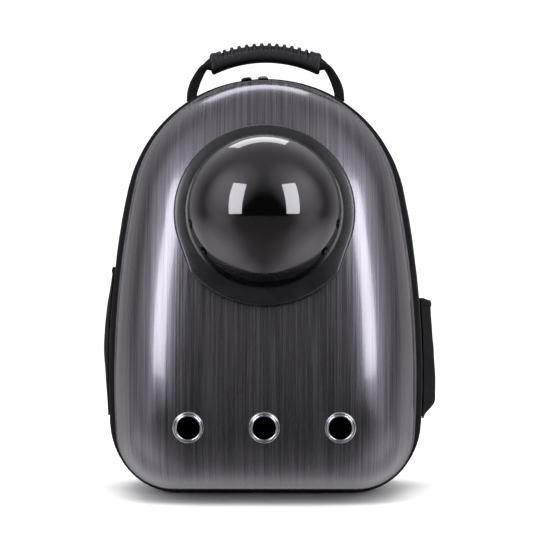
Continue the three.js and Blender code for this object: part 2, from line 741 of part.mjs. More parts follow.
function handleWeb(hand) {
  const out = gripAngle + GAP / GRIP_RADIUS;
  const start = new THREE.Vector3(
    Math.sin(out) * GRIP_RADIUS, HANDLE_BACK, gripCentre.z + Math.cos(out) * GRIP_RADIUS);
  const foot = new THREE.Vector3(HANDLE_ANCHOR, HANDLE_BACK, crownHeight(HANDLE_ANCHOR, 0));
  const drop = start.z - foot.z;
  const path = new THREE.CatmullRomCurve3([
    start,
    start.clone().add(new THREE.Vector3(0.36, 0, -0.15).multiplyScalar(foot.x - start.x)),
    new THREE.Vector3(foot.x - 6, HANDLE_BACK, foot.z + drop * 0.62),
    new THREE.Vector3(foot.x - 1.2, HANDLE_BACK, foot.z + drop * 0.3),
    foot,
  ]);
  path.points.forEach((point) => { point.x *= hand; });
  const twist = THREE.MathUtils.degToRad(WEB_TWIST) * hand;
  const across = (share) => new THREE.Vector3(0, 1, 0)
    .applyAxisAngle(new THREE.Vector3(0, 0, 1), twist * Math.min(1, 0.4 + share));
  return seatedOnBag(bandAlong(path, 10, () => flatSection(WEB_WIDTH, WEB_THICKNESS), across));
}

// Shoulder straps

// The strap's middle line: shares of the way from its root to its buckle, sideways and off the back
const STRAP_LINE = [
  { down: 0, side: 0, off: 0 },
  { down: -0.008, side: 0, off: 0.3 },
  { down: 0.06, side: 0.05, off: 0.72 },
  { down: 0.28, side: 0.3, off: 0.98 },
  { down: 0.55, side: 0.62, off: 1 },
  { down: 0.8, side: 0.86, off: 0.92 },
  { down: 1, side: 1, off: 0.78 },
];
const STRAP_FOOT = { side: 100, height: 158 };

function strapPath(hand) {
  return new THREE.CatmullRomCurve3(STRAP_LINE.map(({ down, side, off }) => new THREE.Vector3(
    hand * THREE.MathUtils.lerp(STRAP_ROOT, STRAP_FOOT.side, side),
    BAG_BACK + STRAP_STAND_OFF * off,
    THREE.MathUtils.lerp(STRAP_ROOT_HEIGHT, STRAP_FOOT.height, down))));
}

function shoulderStrap(hand) {
  const across = () => new THREE.Vector3(1, 0, 0);
  const section = (share) => {
    const taper = share > 0.9 ? 1 - 4.5 * (share - 0.9) : 1;
    return flatSection(STRAP_WIDTH * taper, STRAP_THICKNESS);
  };
  return seatedOnBag(bandAlong(strapPath(hand), 18, section, across));
}

// A frame at the end of the strap: X across it, Y along the way on, Z off the back
function strapEnd(hand) {
  const path = strapPath(hand);
  const on = path.getTangentAt(1);
  const wide = new THREE.Vector3(1, 0, 0).projectOnPlane(on).normalize();
  const off = new THREE.Vector3().crossVectors(wide, on);
  return new THREE.Matrix4().makeBasis(wide, on, off).setPosition(path.getPointAt(1));
}

function strapBuckle() {
  const w = BUCKLE_WIDTH / 2;
  const slot = (BUCKLE_LENGTH - 3 * BUCKLE_BAR) / 2;
  const shape = new THREE.Shape([
    new THREE.Vector2(-w, 0), new THREE.Vector2(w, 0),
    new THREE.Vector2(w, BUCKLE_LENGTH), new THREE.Vector2(-w, BUCKLE_LENGTH),
  ]);
  [BUCKLE_BAR, 2 * BUCKLE_BAR + slot].forEach((from) => {
    shape.holes.push(new THREE.Path([
      new THREE.Vector2(-w + BUCKLE_BAR, from), new THREE.Vector2(-w + BUCKLE_BAR, from + slot),
      new THREE.Vector2(w - BUCKLE_BAR, from + slot), new THREE.Vector2(w - BUCKLE_BAR, from),
    ]));
  });
  const geometry = new THREE.ExtrudeGeometry(shape, { depth: BUCKLE_THICKNESS, bevelEnabled: false });
  return geometry.translate(0, GAP, -BUCKLE_THICKNESS / 2);
}

function strapTail(hand) {
  const [start, lead] = [0, BUCKLE_THICKNESS].map((on) => (
    new THREE.Vector3(0, BUCKLE_LENGTH + 3 * GAP + on, 0).applyMatrix4(strapEnd(hand))));
  const end = new THREE.Vector3(hand * TAIL_ANCHOR, BAG_BACK, TAIL_ANCHOR_HEIGHT);
  const middle = start.clone().lerp(end, 0.5).add(new THREE.Vector3(0, STRAP_STAND_OFF * 0.12, 0));
  const last = start.clone().lerp(end, 0.85).add(new THREE.Vector3(0, STRAP_STAND_OFF * 0.04, 0));
  const path = new THREE.CatmullRomCurve3([start, lead, middle, last, end]);
  const across = () => new THREE.Vector3(1, 0, 0);
  return seatedOnBag(bandAlong(path, 9, () => flatSection(TAIL_WIDTH, TAIL_THICKNESS), across));
}

// Assembly

addPiece('hard_shell', hardShell(), 'shell');

const bubble = new THREE.Group();
bubble.applyMatrix4(bubblePlace);
bag.add(bubble);
addPiece('bubble_ring', bubbleRing(), 'ring', bubble);
addPiece('bubble_dome', bubbleDome(), 'dome', bubble);

Object.entries(EYELETS).forEach(([name, x]) => {
  const place = eyeletFrame(x);
  addPiece(name, eyelet(place), 'chrome').applyMatrix4(place);
});

addPiece('zipper_band', rimBand(zipperSection(0)), 'zipper');
Object.entries(SLIDER_PLACES).forEach(([name, x]) => {
  const place = crownFrame(x, GAP - TAPE_INSET, GAP + ZIPPER_WIDTH / 2);
  addPiece(name, slider(place), 'slider').applyMatrix4(place);
  const pull = new THREE.BoxGeometry(PULL_WIDTH, PULL_LENGTH, PULL_THICKNESS);
  const rise = CROWN_BULGE + GAP + PULL_THICKNESS / 2;
  const pullPlace = crownFrame(x, rise, GUSSET_FRONT + PULL_LENGTH / 2);
  addPiece(name.replace('slider', 'pull'), pull, 'slider').applyMatrix4(pullPlace);
});

addPiece('fabric_body', fabricBody(), 'cloth');
Object.entries(POCKETS).forEach(([name, spec]) => addPiece(name, sidePocket(spec), 'cloth'));
addPiece('back_pad', backPad(), 'cloth');

addPiece('handle_grip', handleGrip(), 'rubber');
[['left', -1], ['right', 1]].forEach(([side, hand]) => {
  addPiece(`handle_web_${side}`, handleWeb(hand), 'webbing');
  addPiece(`shoulder_strap_${side}`, shoulderStrap(hand), 'cloth');
  addPiece(`strap_buckle_${side}`, strapBuckle(), 'buckle').applyMatrix4(strapEnd(hand));
  addPiece(`strap_web_${side}`, strapTail(hand), 'webbing');
});

const group = new THREE.Group();
group.add(bag);

export default group;
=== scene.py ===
"""Bubble pet carrier backpack: the looks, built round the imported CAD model.

Sizes are in millimetres in the rim's frame, where Y = 0 is the plane of the zipped rim, X is to the
right and Z is up from the floor. placed() takes a point to metres in the frame of the CAD model.
"""
from __future__ import annotations

import json
import logging
import math
from collections.abc import Callable, Iterator, Sequence
from contextlib import contextmanager
from dataclasses import dataclass
from enum import Enum
from functools import cache

import bpy
from mathutils import Matrix, Vector, noise

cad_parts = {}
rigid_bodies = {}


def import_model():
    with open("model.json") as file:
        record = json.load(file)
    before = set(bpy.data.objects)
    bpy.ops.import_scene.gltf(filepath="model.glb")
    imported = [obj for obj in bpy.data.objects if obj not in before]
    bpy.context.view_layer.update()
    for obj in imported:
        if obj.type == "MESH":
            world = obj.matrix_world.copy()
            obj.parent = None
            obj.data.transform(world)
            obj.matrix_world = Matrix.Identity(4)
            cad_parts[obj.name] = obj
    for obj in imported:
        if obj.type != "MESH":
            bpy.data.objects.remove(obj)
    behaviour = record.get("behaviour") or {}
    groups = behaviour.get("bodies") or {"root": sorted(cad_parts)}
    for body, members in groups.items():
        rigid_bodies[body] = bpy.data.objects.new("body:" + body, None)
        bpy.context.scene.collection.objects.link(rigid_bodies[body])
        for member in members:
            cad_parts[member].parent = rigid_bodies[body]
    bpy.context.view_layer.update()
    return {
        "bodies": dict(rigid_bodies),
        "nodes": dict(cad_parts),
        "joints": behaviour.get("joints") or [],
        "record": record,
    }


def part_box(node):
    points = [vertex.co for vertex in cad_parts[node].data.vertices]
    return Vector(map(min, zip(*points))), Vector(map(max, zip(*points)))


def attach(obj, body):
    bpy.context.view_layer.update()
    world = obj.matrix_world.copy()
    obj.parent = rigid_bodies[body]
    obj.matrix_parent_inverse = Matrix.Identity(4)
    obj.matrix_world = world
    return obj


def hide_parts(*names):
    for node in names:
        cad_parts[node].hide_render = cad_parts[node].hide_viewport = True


log = logging.getLogger("pet_carrier")

MM = 0.001
BASE_MIDDLE = 66.85           # rim plane to the middle of the flat base
CLEAR = 0.3                   # between neighbouring pieces
MERGE = 2e-6                  # in metres: points closer than this are one point

Ring = list[Vector]


# Points and curves

def placed(point: Vector) -> Vector:
    """Takes a point in millimetres in the rim's frame to metres in the CAD model's frame."""
    return Vector((point.x, point.y - BASE_MIDDLE, point.z)) * MM


def placed_frame(frame: Matrix) -> Matrix:
    """Takes a frame in millimetres to one that puts a piece made in millimetres in its place."""
    return Matrix.Scale(MM, 4) @ Matrix.Translation((0, -BASE_MIDDLE, 0)) @ frame


def framed(across: Vector, along: Vector, out: Vector, middle: Vector) -> Matrix:
    """Returns the frame with its axes along three ways and its origin in the middle."""
    frame = Matrix((across, along, out)).transposed().to_4x4()
    frame.translation = middle
    return frame


def mixed(start: float, end: float, share: float) -> float:
    """Returns the value at a share of the way from start to end."""
    return start + (end - start) * share


def eased(share: float) -> float:
    """Returns a share from 0 to 1 with a smooth start and end."""
    share = min(1.0, max(0.0, share))
    return share * share * (3 - 2 * share)


def curve_through(points: Sequence[Vector], count: int) -> list[Vector]:
    """Draws a smooth curve through points and returns places evenly along it.

    Args:
        points: what the curve goes through.
        count: how many spans the result has.

    Returns:
        count + 1 points at equal distances along the curve.
    """
    ends = [points[0] * 2 - points[1], *points, points[-1] * 2 - points[-2]]
    fine: list[Vector] = []
    for before, start, end, after in zip(ends, ends[1:], ends[2:], ends[3:]):
        knots = [0.0]
        for a, b in ((before, start), (start, end), (end, after)):
            knots.append(knots[-1] + max(1e-6, (b - a).length) ** 0.5)
        for i in range(24):
            t = mixed(knots[1], knots[2], i / 24)
            near = [
                (knots[k + 1] - t) / (knots[k + 1] - knots[k]) * a
                + (t - knots[k]) / (knots[k + 1] - knots[k]) * b
                for k, (a, b) in enumerate(((before, start), (start, end), (end, after)))
            ]
            far = [
                (knots[k + 2] - t) / (knots[k + 2] - knots[k]) * near[k]
                + (t - knots[k]) / (knots[k + 2] - knots[k]) * near[k + 1]
                for k in range(2)
            ]
            fine.append(
                (knots[2] - t) / (knots[2] - knots[1]) * far[0]
                + (t - knots[1]) / (knots[2] - knots[1]) * far[1]
            )
    fine.append(points[-1].copy())
    return evenly_along(fine, count)


def evenly_along(points: Sequence[Vector], count: int) -> list[Vector]:
    """Returns count + 1 places at equal distances along a polyline."""
    lengths = [0.0]
    for a, b in zip(points, points[1:]):
        lengths.append(lengths[-1] + (b - a).length)
    places: list[Vector] = []
    span = 0
    for i in range(count + 1):
        target = lengths[-1] * i / count
        while span < len(points) - 2 and lengths[span + 1] < target:
            span += 1
        width = max(1e-9, lengths[span + 1] - lengths[span])
        places.append(points[span].lerp(points[span + 1], min(1.0, (target - lengths[span]) / width)))
    return places


# Modelling by hand, in code

def pick(piece: bpy.types.Object | None) -> None:
    """Selects one piece alone and makes it active, or nothing at all."""
    bpy.ops.object.select_all(action="DESELECT")
    bpy.context.view_layer.objects.active = piece
    if piece is not None:
        piece.select_set(True)


@contextmanager
def edited(piece: bpy.types.Object, domain: str = "VERT") -> Iterator[None]:
    """Holds a piece in edit mode, with everything selected.

    Args:
        piece: the mesh object to edit.
        domain: what is selected, VERT, EDGE or FACE.
    """
    pick(piece)
    bpy.ops.object.mode_set(mode="EDIT")
    bpy.ops.mesh.select_mode(type=domain)
    bpy.ops.mesh.select_all(action="SELECT")
    yield
    bpy.ops.object.mode_set(mode="OBJECT")


def applied(piece: bpy.types.Object, kind: str, **settings: object) -> bpy.types.Object:
    """Adds a modifier with its settings and applies it at once."""
    pick(piece)
    modifier = piece.modifiers.new(kind.title(), kind)
    for key, value in settings.items():
        setattr(modifier, key, value)
    bpy.ops.object.modifier_apply(modifier=modifier.name)
    return piece


def closed(piece: bpy.types.Object, fill: bool = False, unit: float = 1.0) -> bpy.types.Object:
    """Merges doubled points, fills open ends if asked, and turns all faces outwards.

    Args:
        piece: the mesh object.
        fill: whether its open ends are closed with a face each.
        unit: what a metre measures in the piece as it stands.

    Returns:
        The piece.
    """
    with edited(piece):
        bpy.ops.mesh.remove_doubles(threshold=MERGE * unit)
        bpy.ops.mesh.dissolve_degenerate(threshold=MERGE)
        bpy.ops.mesh.select_all(action="SELECT")
        if fill:
            bpy.ops.mesh.fill_holes(sides=0)
            bpy.ops.mesh.select_all(action="SELECT")
        bpy.ops.mesh.normals_make_consistent(inside=False)
    return piece


def settled(piece: bpy.types.Object, place: Matrix | None = None) -> bpy.types.Object:
    """Puts a piece in its place for good, with its place in its mesh."""
    pick(piece)
    if place is not None:
        piece.matrix_world = place @ piece.matrix_world
    bpy.ops.object.transform_apply(location=True, rotation=True, scale=True)
    return piece


def smoothed(piece: bpy.types.Object, angle: float = 35.0) -> bpy.types.Object:
    """Shades a piece smooth except across edges sharper than an angle in degrees."""
    pick(piece)
    bpy.ops.object.shade_smooth_by_angle(angle=math.radians(angle))
    return piece


def lofted(name: str, rings: Sequence[Ring], wrap: bool = True, fill: bool = True) -> bpy.types.Object:
    """Lays a grid through rings of points, with a UV map in metres.

    Args:
        name: the piece's name.
        rings: rows of equally many points, in millimetres in the rim's frame.
        wrap: whether each row runs round in a loop.
        fill: whether the first and last rows are closed with a face each.

    Returns:
        The mesh object, merged and facing outwards.
    """
    rows, columns = len(rings), len(rings[0]) + int(wrap)
    pick(None)
    bpy.ops.mesh.primitive_grid_add(x_subdivisions=columns - 1, y_subdivisions=rows - 1, size=1)
    piece = bpy.context.object
    piece.name = piece.data.name = name
    middle = rings[rows // 2]
    around, along = [0.0], [0.0]
    for i in range(1, columns):
        around.append(around[-1] + (middle[i % len(middle)] - middle[i - 1]).length * MM)
    for here, there in zip(rings, rings[1:]):
        along.append(along[-1] + max((there[i] - here[i]).length for i in (0, len(here) // 3)) * MM)
    cells: list[tuple[int, int]] = []
    for vertex in piece.data.vertices:
        column = round((vertex.co.x + 0.5) * (columns - 1))
        row = round((vertex.co.y + 0.5) * (rows - 1))
        cells.append((column, row))
        vertex.co = placed(rings[row][column % len(rings[row])])
    uv = piece.data.uv_layers.active.data
    for loop in piece.data.loops:
        column, row = cells[loop.vertex_index]
        uv[loop.index].uv = (around[column], along[row])
    return closed(piece, fill=wrap and fill)


def turned(name: str, profile: Sequence[tuple[float, float]], steps: int) -> bpy.types.Object:
    """Draws a circle out along a profile about Z, as on a lathe.

    Args:
        name: the piece's name.
        profile: pairs of radius and height in millimetres; only the last radius may be 0.
        steps: how many faces go round.

    Returns:
        The mesh object, still in millimetres about its own axis.
    """
    pick(None)
    bpy.ops.mesh.primitive_circle_add(vertices=steps, radius=profile[0][0])
    piece = bpy.context.object
    piece.name = piece.data.name = name
    with edited(piece, "EDGE"):
        bpy.ops.transform.translate(value=(0, 0, profile[0][1]))
        for (radius, height), (wider, higher) in zip(profile, profile[1:]):
            bpy.ops.mesh.extrude_edges_move(TRANSFORM_OT_translate={"value": (0, 0, higher - height)})
            share = wider / radius
            bpy.ops.transform.resize(value=(share, share, 1))
    return closed(piece, unit=1 / MM)


def block(
    name: str,
    size: tuple[float, float, float],
    rounding: float,
    segments: int = 2,
) -> bpy.types.Object:
    """Makes a block with rounded edges, in millimetres about the origin."""
    pick(None)
    bpy.ops.mesh.primitive_cube_add(size=1)
    piece = bpy.context.object
    piece.name = piece.data.name = name
    with edited(piece, "EDGE"):
        bpy.ops.transform.resize(value=size)
        bpy.ops.mesh.bevel(offset=rounding, segments=segments, profile=0.5)
    return piece


def band(
    name: str,
    path: Sequence[Vector],
    section: Callable[[float], Sequence[tuple[float, float]]],
    across: Callable[[float], Vector],
) -> bpy.types.Object:
    """Draws a flat section along a path.

    Args:
        name: the piece's name.
        path: places along the middle of the band, in millimetres.
        section: gives pairs of across and thick at a share of the way along.
        across: gives the way that the band's width lies, at a share of the way along.

    Returns:
        The closed band.
    """
    rings: list[Ring] = []
    last = len(path) - 1
    for i, centre in enumerate(path):
        way = (path[min(last, i + 1)] - path[max(0, i - 1)]).normalized()
        wide = across(i / last)
        wide = (wide - way * wide.dot(way)).normalized()
        thick = way.cross(wide)
        rings.append([centre + wide * w + thick * t for w, t in section(i / last)])
    return lofted(name, rings)


def bound(radius: float, stretch: float, steps: int = 10) -> list[tuple[float, float]]:
    """Returns a closed round section as pairs of out and back, stretched to the back."""
    turns = [i / (steps - 1) * 2 * math.pi for i in range(steps)]
    return [(radius * math.sin(turn), stretch * radius * math.cos(turn)) for turn in turns]


def joined(name: str, pieces: Sequence[bpy.types.Object]) -> bpy.types.Object:
    """Joins pieces into one mesh."""
    pick(pieces[0])
    for piece in pieces:
        piece.select_set(True)
    bpy.ops.object.join()
    result = bpy.context.object
    result.name = result.data.name = name
    return result


def copied(model: bpy.types.Object, name: str, place: Matrix) -> bpy.types.Object:
    """Copies a piece with its own mesh, and puts the copy in a place."""
    twin = model.copy()
    twin.data = model.data.copy()
    twin.name = twin.data.name = name
    bpy.context.scene.collection.objects.link(twin)
    twin.matrix_world = place @ model.matrix_world
    return twin


def repeated(name: str, model: bpy.types.Object, places: Sequence[Matrix]) -> bpy.types.Object:
    """Copies a model to every place as one mesh, and removes the model."""
    copies = [copied(model, f"{name}_{i}", place) for i, place in enumerate(places)]
    bpy.data.objects.remove(model)
    return settled(joined(name, copies))


def cut(piece: bpy.types.Object, cutter: bpy.types.Object) -> bpy.types.Object:
    """Takes a cutter's shape out of a piece, and removes the cutter."""
    applied(piece, "BOOLEAN", object=cutter, operation="DIFFERENCE", solver="EXACT")
    bpy.data.objects.remove(cutter)
    return piece


def rod(radius: float, low: float, high: float, place: Matrix, steps: int = 48) -> bpy.types.Object:
    """Makes a plain rod in a frame in millimetres, for cutting holes."""
    pick(None)
    bpy.ops.mesh.primitive_cylinder_add(
        vertices=steps, radius=radius, depth=high - low, location=(0, 0, (low + high) / 2))
    return settled(bpy.context.object, placed_frame(place))


class Slot(Enum):
    """The record's material slots."""

    SHELL = "shell"
    RING = "ring"
    DOME = "dome"
    EYELETS = "eyelets"
    ZIPPER = "zipper"
    ZIPPER_METAL = "zipper_metal"
    CLOTH = "cloth"
    PADDING = "padding"
    GRIP = "grip"
    WEBBING = "webbing"
    BUCKLE = "buckle"


def handed_over(
    piece: bpy.types.Object,
    finish: Finish,
    stands_for: Sequence[str] = (),
) -> bpy.types.Object:
    """Dresses a finished piece and ties it to the frame.

    Args:
        piece: the piece, in its place.
        finish: what it is made of.
        stands_for: the CAD nodes that it is shown instead of.

    Returns:
        The piece.
    """
    piece.data.materials.clear()
    piece.data.materials.append(material_of(finish))
    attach(piece, "root")
    if stands_for:
        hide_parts(*stands_for)
    log.info("%s: %d faces, %s", piece.name, len(piece.data.polygons), finish.name)
    return piece


# Finishes

def linear(colour: str) -> tuple[float, float, float, float]:
    """Turns an sRGB hex colour to linear red, green, blue and alpha."""
    parts = [int(colour.lstrip("#")[i:i + 2], 16) / 255 for i in (0, 2, 4)]
    red, green, blue = (p / 12.92 if p <= 0.04045 else ((p + 0.055) / 1.055) ** 2.4 for p in parts)
    return red, green, blue, 1.0


def add_node(
    tree: bpy.types.NodeTree,
    kind: str,
    settings: dict[str, object] | None = None,
    inputs: dict[str | int, object] | None = None,
) -> bpy.types.Node:
    """Adds a node with its settings and links.

    Args:
        tree: the material's nodes.
        kind: the node's type name, without ShaderNode.
        settings: attributes of the node; a ramp's stops are given as "stops".
        inputs: for each input, a value or the output socket that feeds it.

    Returns:
        The new node.
    """
    node = tree.nodes.new(f"ShaderNode{kind}")
    for key, value in (settings or {}).items():
        if key == "stops":
            ramp = node.color_ramp
            while len(ramp.elements) < len(value):
                ramp.elements.new(0.5)
            for element, (position, colour) in zip(ramp.elements, value):
                element.position, element.color = position, linear(colour)
        else:
            setattr(node, key, value)
    for socket, value in (inputs or {}).items():
        if isinstance(value, bpy.types.NodeSocket):
            tree.links.new(value, node.inputs[socket])
        else:
            node.inputs[socket].default_value = value
    return node


def mottled(
    tree: bpy.types.NodeTree,
    place: bpy.types.NodeSocket,
    size: float,
    detail: float,
    roughness: float,
) -> bpy.types.NodeSocket:
    """Adds noise with spots of a size in millimetres."""
    return add_node(tree, "TexNoise", inputs={
        "Vector": place, "Scale": 1 / (size * MM), "Detail": detail, "Roughness": roughness}).outputs[0]


def blended(
    tree: bpy.types.NodeTree,
    share: float,
    one: bpy.types.NodeSocket,
    other: bpy.types.NodeSocket,
) -> bpy.types.NodeSocket:
    """Mixes two values, with a share of the other one."""
    return add_node(tree, "Mix", {"data_type": "FLOAT"}, {"Factor": share, 2: one, 3: other}).outputs[0]


def tinted(
    tree: bpy.types.NodeTree,
    value: bpy.types.NodeSocket,
    *stops: tuple[float, str],
) -> bpy.types.NodeSocket:
    """Turns a value to a colour between the colours at its stops."""
    return add_node(tree, "ValToRGB", {"stops": stops}, {"Fac": value}).outputs[0]


def ranged(
    tree: bpy.types.NodeTree,
    value: bpy.types.NodeSocket,
    start: float,
    end: float,
    low: float = 0.3,
    high: float = 0.7,
) -> bpy.types.NodeSocket:
    """Takes a value between low and high to one between start and end."""
    return add_node(tree, "MapRange", inputs={
        "Value": value, "From Min": low, "From Max": high, "To Min": start, "To Max": end}).outputs[0]


def raised(
    tree: bpy.types.NodeTree,
    height: bpy.types.NodeSocket,
    strength: float,
    depth: float,
) -> bpy.types.NodeSocket:
    """Turns a height to a bump with a depth in millimetres."""
    return add_node(tree, "Bump", inputs={
        "Height": height, "Strength": strength, "Distance": depth * MM}).outputs[0]


@dataclass(frozen=True)
class Finish:
    """What every finish has: a base colour, a roughness and the shader's own constants."""

    name: str
    colour: str
    roughness: float

    def started(
        self, constants: dict[str, float],
    ) -> tuple[bpy.types.Material, bpy.types.NodeTree, bpy.types.Node]:
        """Makes the material with its shader alone.

        Args:
            constants: values of the shader's other sockets.

        Returns:
            The material, its nodes and its shader.
        """
        material = bpy.data.materials.new(self.name)
        material.use_nodes = True
        tree = material.node_tree
        tree.nodes.clear()
        shader = add_node(tree, "BsdfPrincipled", inputs={
            "Base Color": linear(self.colour), "Roughness": self.roughness, **constants})
        add_node(tree, "OutputMaterial", inputs={"Surface": shader.outputs["BSDF"]})
        material.diffuse_color = linear(self.colour)
        return material, tree, shader

    def feed(self, tree: bpy.types.NodeTree, shader: bpy.types.Node, **sockets: bpy.types.NodeSocket) -> None:
        """Links outputs to the shader's inputs; a name's underscores stand for spaces."""
        for name, output in sockets.items():
            tree.links.new(output, shader.inputs[name.replace("_", " ")])


@dataclass(frozen=True)
class BrushedFilm(Finish):
    """Metallised brushed film under thermoformed clear plastic: upright streaks under a wet gloss."""

    light: str = "#7c7a80"
    streak_width: float = 1.5
    streak_length: float = 170.0
    coat: float = 0.6
    coat_roughness: float = 0.08

    def material(self) -> bpy.types.Material:
        """Builds the streaks from noise drawn out along the UV map's V, in two widths."""
        material, tree, shader = self.started({
            "Metallic": 0.9, "Coat Weight": self.coat, "Coat Roughness": self.coat_roughness})
        laid = add_node(tree, "TexCoord").outputs["UV"]
        across, along = 1 / (self.streak_width * MM), 1 / (self.streak_length * MM)
        layers = []
        for wide, long, detail, roughness in ((1.0, 1.0, 2.5, 0.65), (0.25, 0.5, 1.5, 0.5)):
            drawn = add_node(tree, "Mapping", inputs={
                "Vector": laid, "Scale": (across * wide, along * long, 1.0)})
            layers.append(mottled(tree, drawn.outputs[0], 1 / MM, detail, roughness))
        streaks = blended(tree, 0.3, *layers)
        self.feed(tree, shader,
                  Base_Color=tinted(tree, streaks, (0.3, self.colour), (0.68, self.light)),
                  Roughness=ranged(tree, streaks, self.roughness - 0.06, self.roughness + 0.06),
                  Normal=raised(tree, streaks, 0.08, 0.1))
        return material


@dataclass(frozen=True)
class SmokedPolycarbonate(Finish):
    """Polished smoke-tinted polycarbonate with a hard coat: dark to look through, bright in reflection."""

    ior: float = 1.54
    coat: float = 0.9

    def material(self) -> bpy.types.Material:
        """Builds the tinted glass, with a faint waviness from forming."""
        material, tree, shader = self.started({
            "Transmission Weight": 1.0, "IOR": self.ior, "Coat Weight": self.coat,
            "Coat Roughness": 0.02, "Coat IOR": 1.5})
        wave = mottled(tree, add_node(tree, "TexCoord").outputs["Object"], 45, 1.0, 0.4)
        self.feed(tree, shader,
                  Normal=raised(tree, wave, 0.25, 0.2),
                  Roughness=ranged(tree, wave, self.roughness, self.roughness + 0.02, 0.0, 1.0))
        return material


@dataclass(frozen=True)
class Moulding(Finish):
    """Injection moulded plastic or rubber: an even colour with a fine grain from the tool."""

    light: str = "#2c2d32"
    grain: float = 0.8
    depth: float = 0.03
    coat: float = 0.0
    coat_roughness: float = 0.05

    def material(self) -> bpy.types.Material:
        """Builds the grain and a slow change of gloss, as handling leaves."""
        material, tree, shader = self.started({
            "Coat Weight": self.coat, "Coat Roughness": self.coat_roughness})
        place = add_node(tree, "TexCoord").outputs["Object"]
        grain = mottled(tree, place, self.grain, 3.0, 0.6)
        cloud = mottled(tree, place, 30, 4.0, 0.55)
        self.feed(tree, shader,
                  Base_Color=tinted(tree, cloud, (0.35, self.colour), (0.75, self.light)),
                  Roughness=ranged(tree, cloud, max(0.02, self.roughness - 0.05), self.roughness + 0.06),
                  Normal=raised(tree, grain, 0.3, self.depth))
        return material


@dataclass(frozen=True)
class PlatedMetal(Finish):
    """Polished plate over a pressed or cast part: sharp reflections, faintly clouded where it is handled."""

    dull: str = "#9a9ba0"

    def material(self) -> bpy.types.Material:
        """Builds the metal, with a slow cloud in colour and roughness."""
        material, tree, shader = self.started({"Metallic": 1.0})
        cloud = mottled(tree, add_node(tree, "TexCoord").outputs["Object"], 6, 4.0, 0.6)
        self.feed(tree, shader,
                  Base_Color=tinted(tree, cloud, (0.3, self.dull), (0.6, self.colour)),
                  Roughness=ranged(tree, cloud, self.roughness + 0.08, self.roughness))
        return material


@dataclass(frozen=True)
class WovenCloth(Finish):
    """Plain woven polyester: crossed threads with a soft sheen. Drawn along the piece's own UV map.

    Real threads of 0.5 mm are finer than the picture shows, so they are drawn at the size below.
    """

    light: str = "#34353a"
    warp: float = 1.3
    weft: float = 1.3
    relief: float = 0.12
    sheen: float = 0.02

    def material(self) -> bpy.types.Material:
        """Builds the weave from two sets of bands, over a slow cloud of wear."""
        material, tree, shader = self.started({
            "Sheen Weight": self.sheen, "Sheen Roughness": 0.5, "Specular IOR Level": 0.25})
        coordinates = add_node(tree, "TexCoord").outputs
        bands = [add_node(tree, "TexWave", {"bands_direction": direction, "wave_profile": "SIN"}, {
            "Vector": coordinates["UV"], "Scale": math.pi / 10 / (spacing * MM), "Distortion": 0.4,
            "Detail": 1.0, "Detail Scale": 2.0}).outputs["Fac"]
            for direction, spacing in (("X", self.warp), ("Y", self.weft))]
        weave = blended(tree, 0.5, *bands)
        shade = blended(tree, 0.5, weave, mottled(tree, coordinates["Object"], 25, 5.0, 0.6))
        self.feed(tree, shader,
                  Base_Color=tinted(tree, shade, (0.3, self.colour), (0.75, self.light)),
                  Normal=raised(tree, weave, 0.6, self.relief))
        return material


@dataclass(frozen=True)
class AirMesh(Finish):
    """Knitted spacer mesh over foam: rows of small open cells, dull and dark."""

    light: str = "#232327"
    cell: float = 3.2

    def material(self) -> bpy.types.Material:
        """Builds the cells from distances between scattered points, which needs no UV map; each cell's middle
        is painted darker as painted shade in the open hole.
        """
        material, tree, shader = self.started({
            "Sheen Weight": 0.04, "Sheen Roughness": 0.6, "Specular IOR Level": 0.3})
        cells = add_node(tree, "TexVoronoi", {"feature": "F1"}, {
            "Vector": add_node(tree, "TexCoord").outputs["Object"], "Scale": 1 / (self.cell * MM),
            "Randomness": 0.35}).outputs["Distance"]
        # The ramp's dark end sits in each cell's middle: painted shade in the open holes.
        self.feed(tree, shader,
                  Base_Color=tinted(tree, cells, (0.15, self.colour), (0.55, self.light)),
                  Normal=raised(tree, cells, 0.8, 0.5))
        return material


@dataclass(frozen=True)
class Glow:
    """One lit part of the studio screen: its direction (the same on both sides) and how it fades out."""

    way: tuple[float, float, float]
    start: float
    end: float
    strength: float


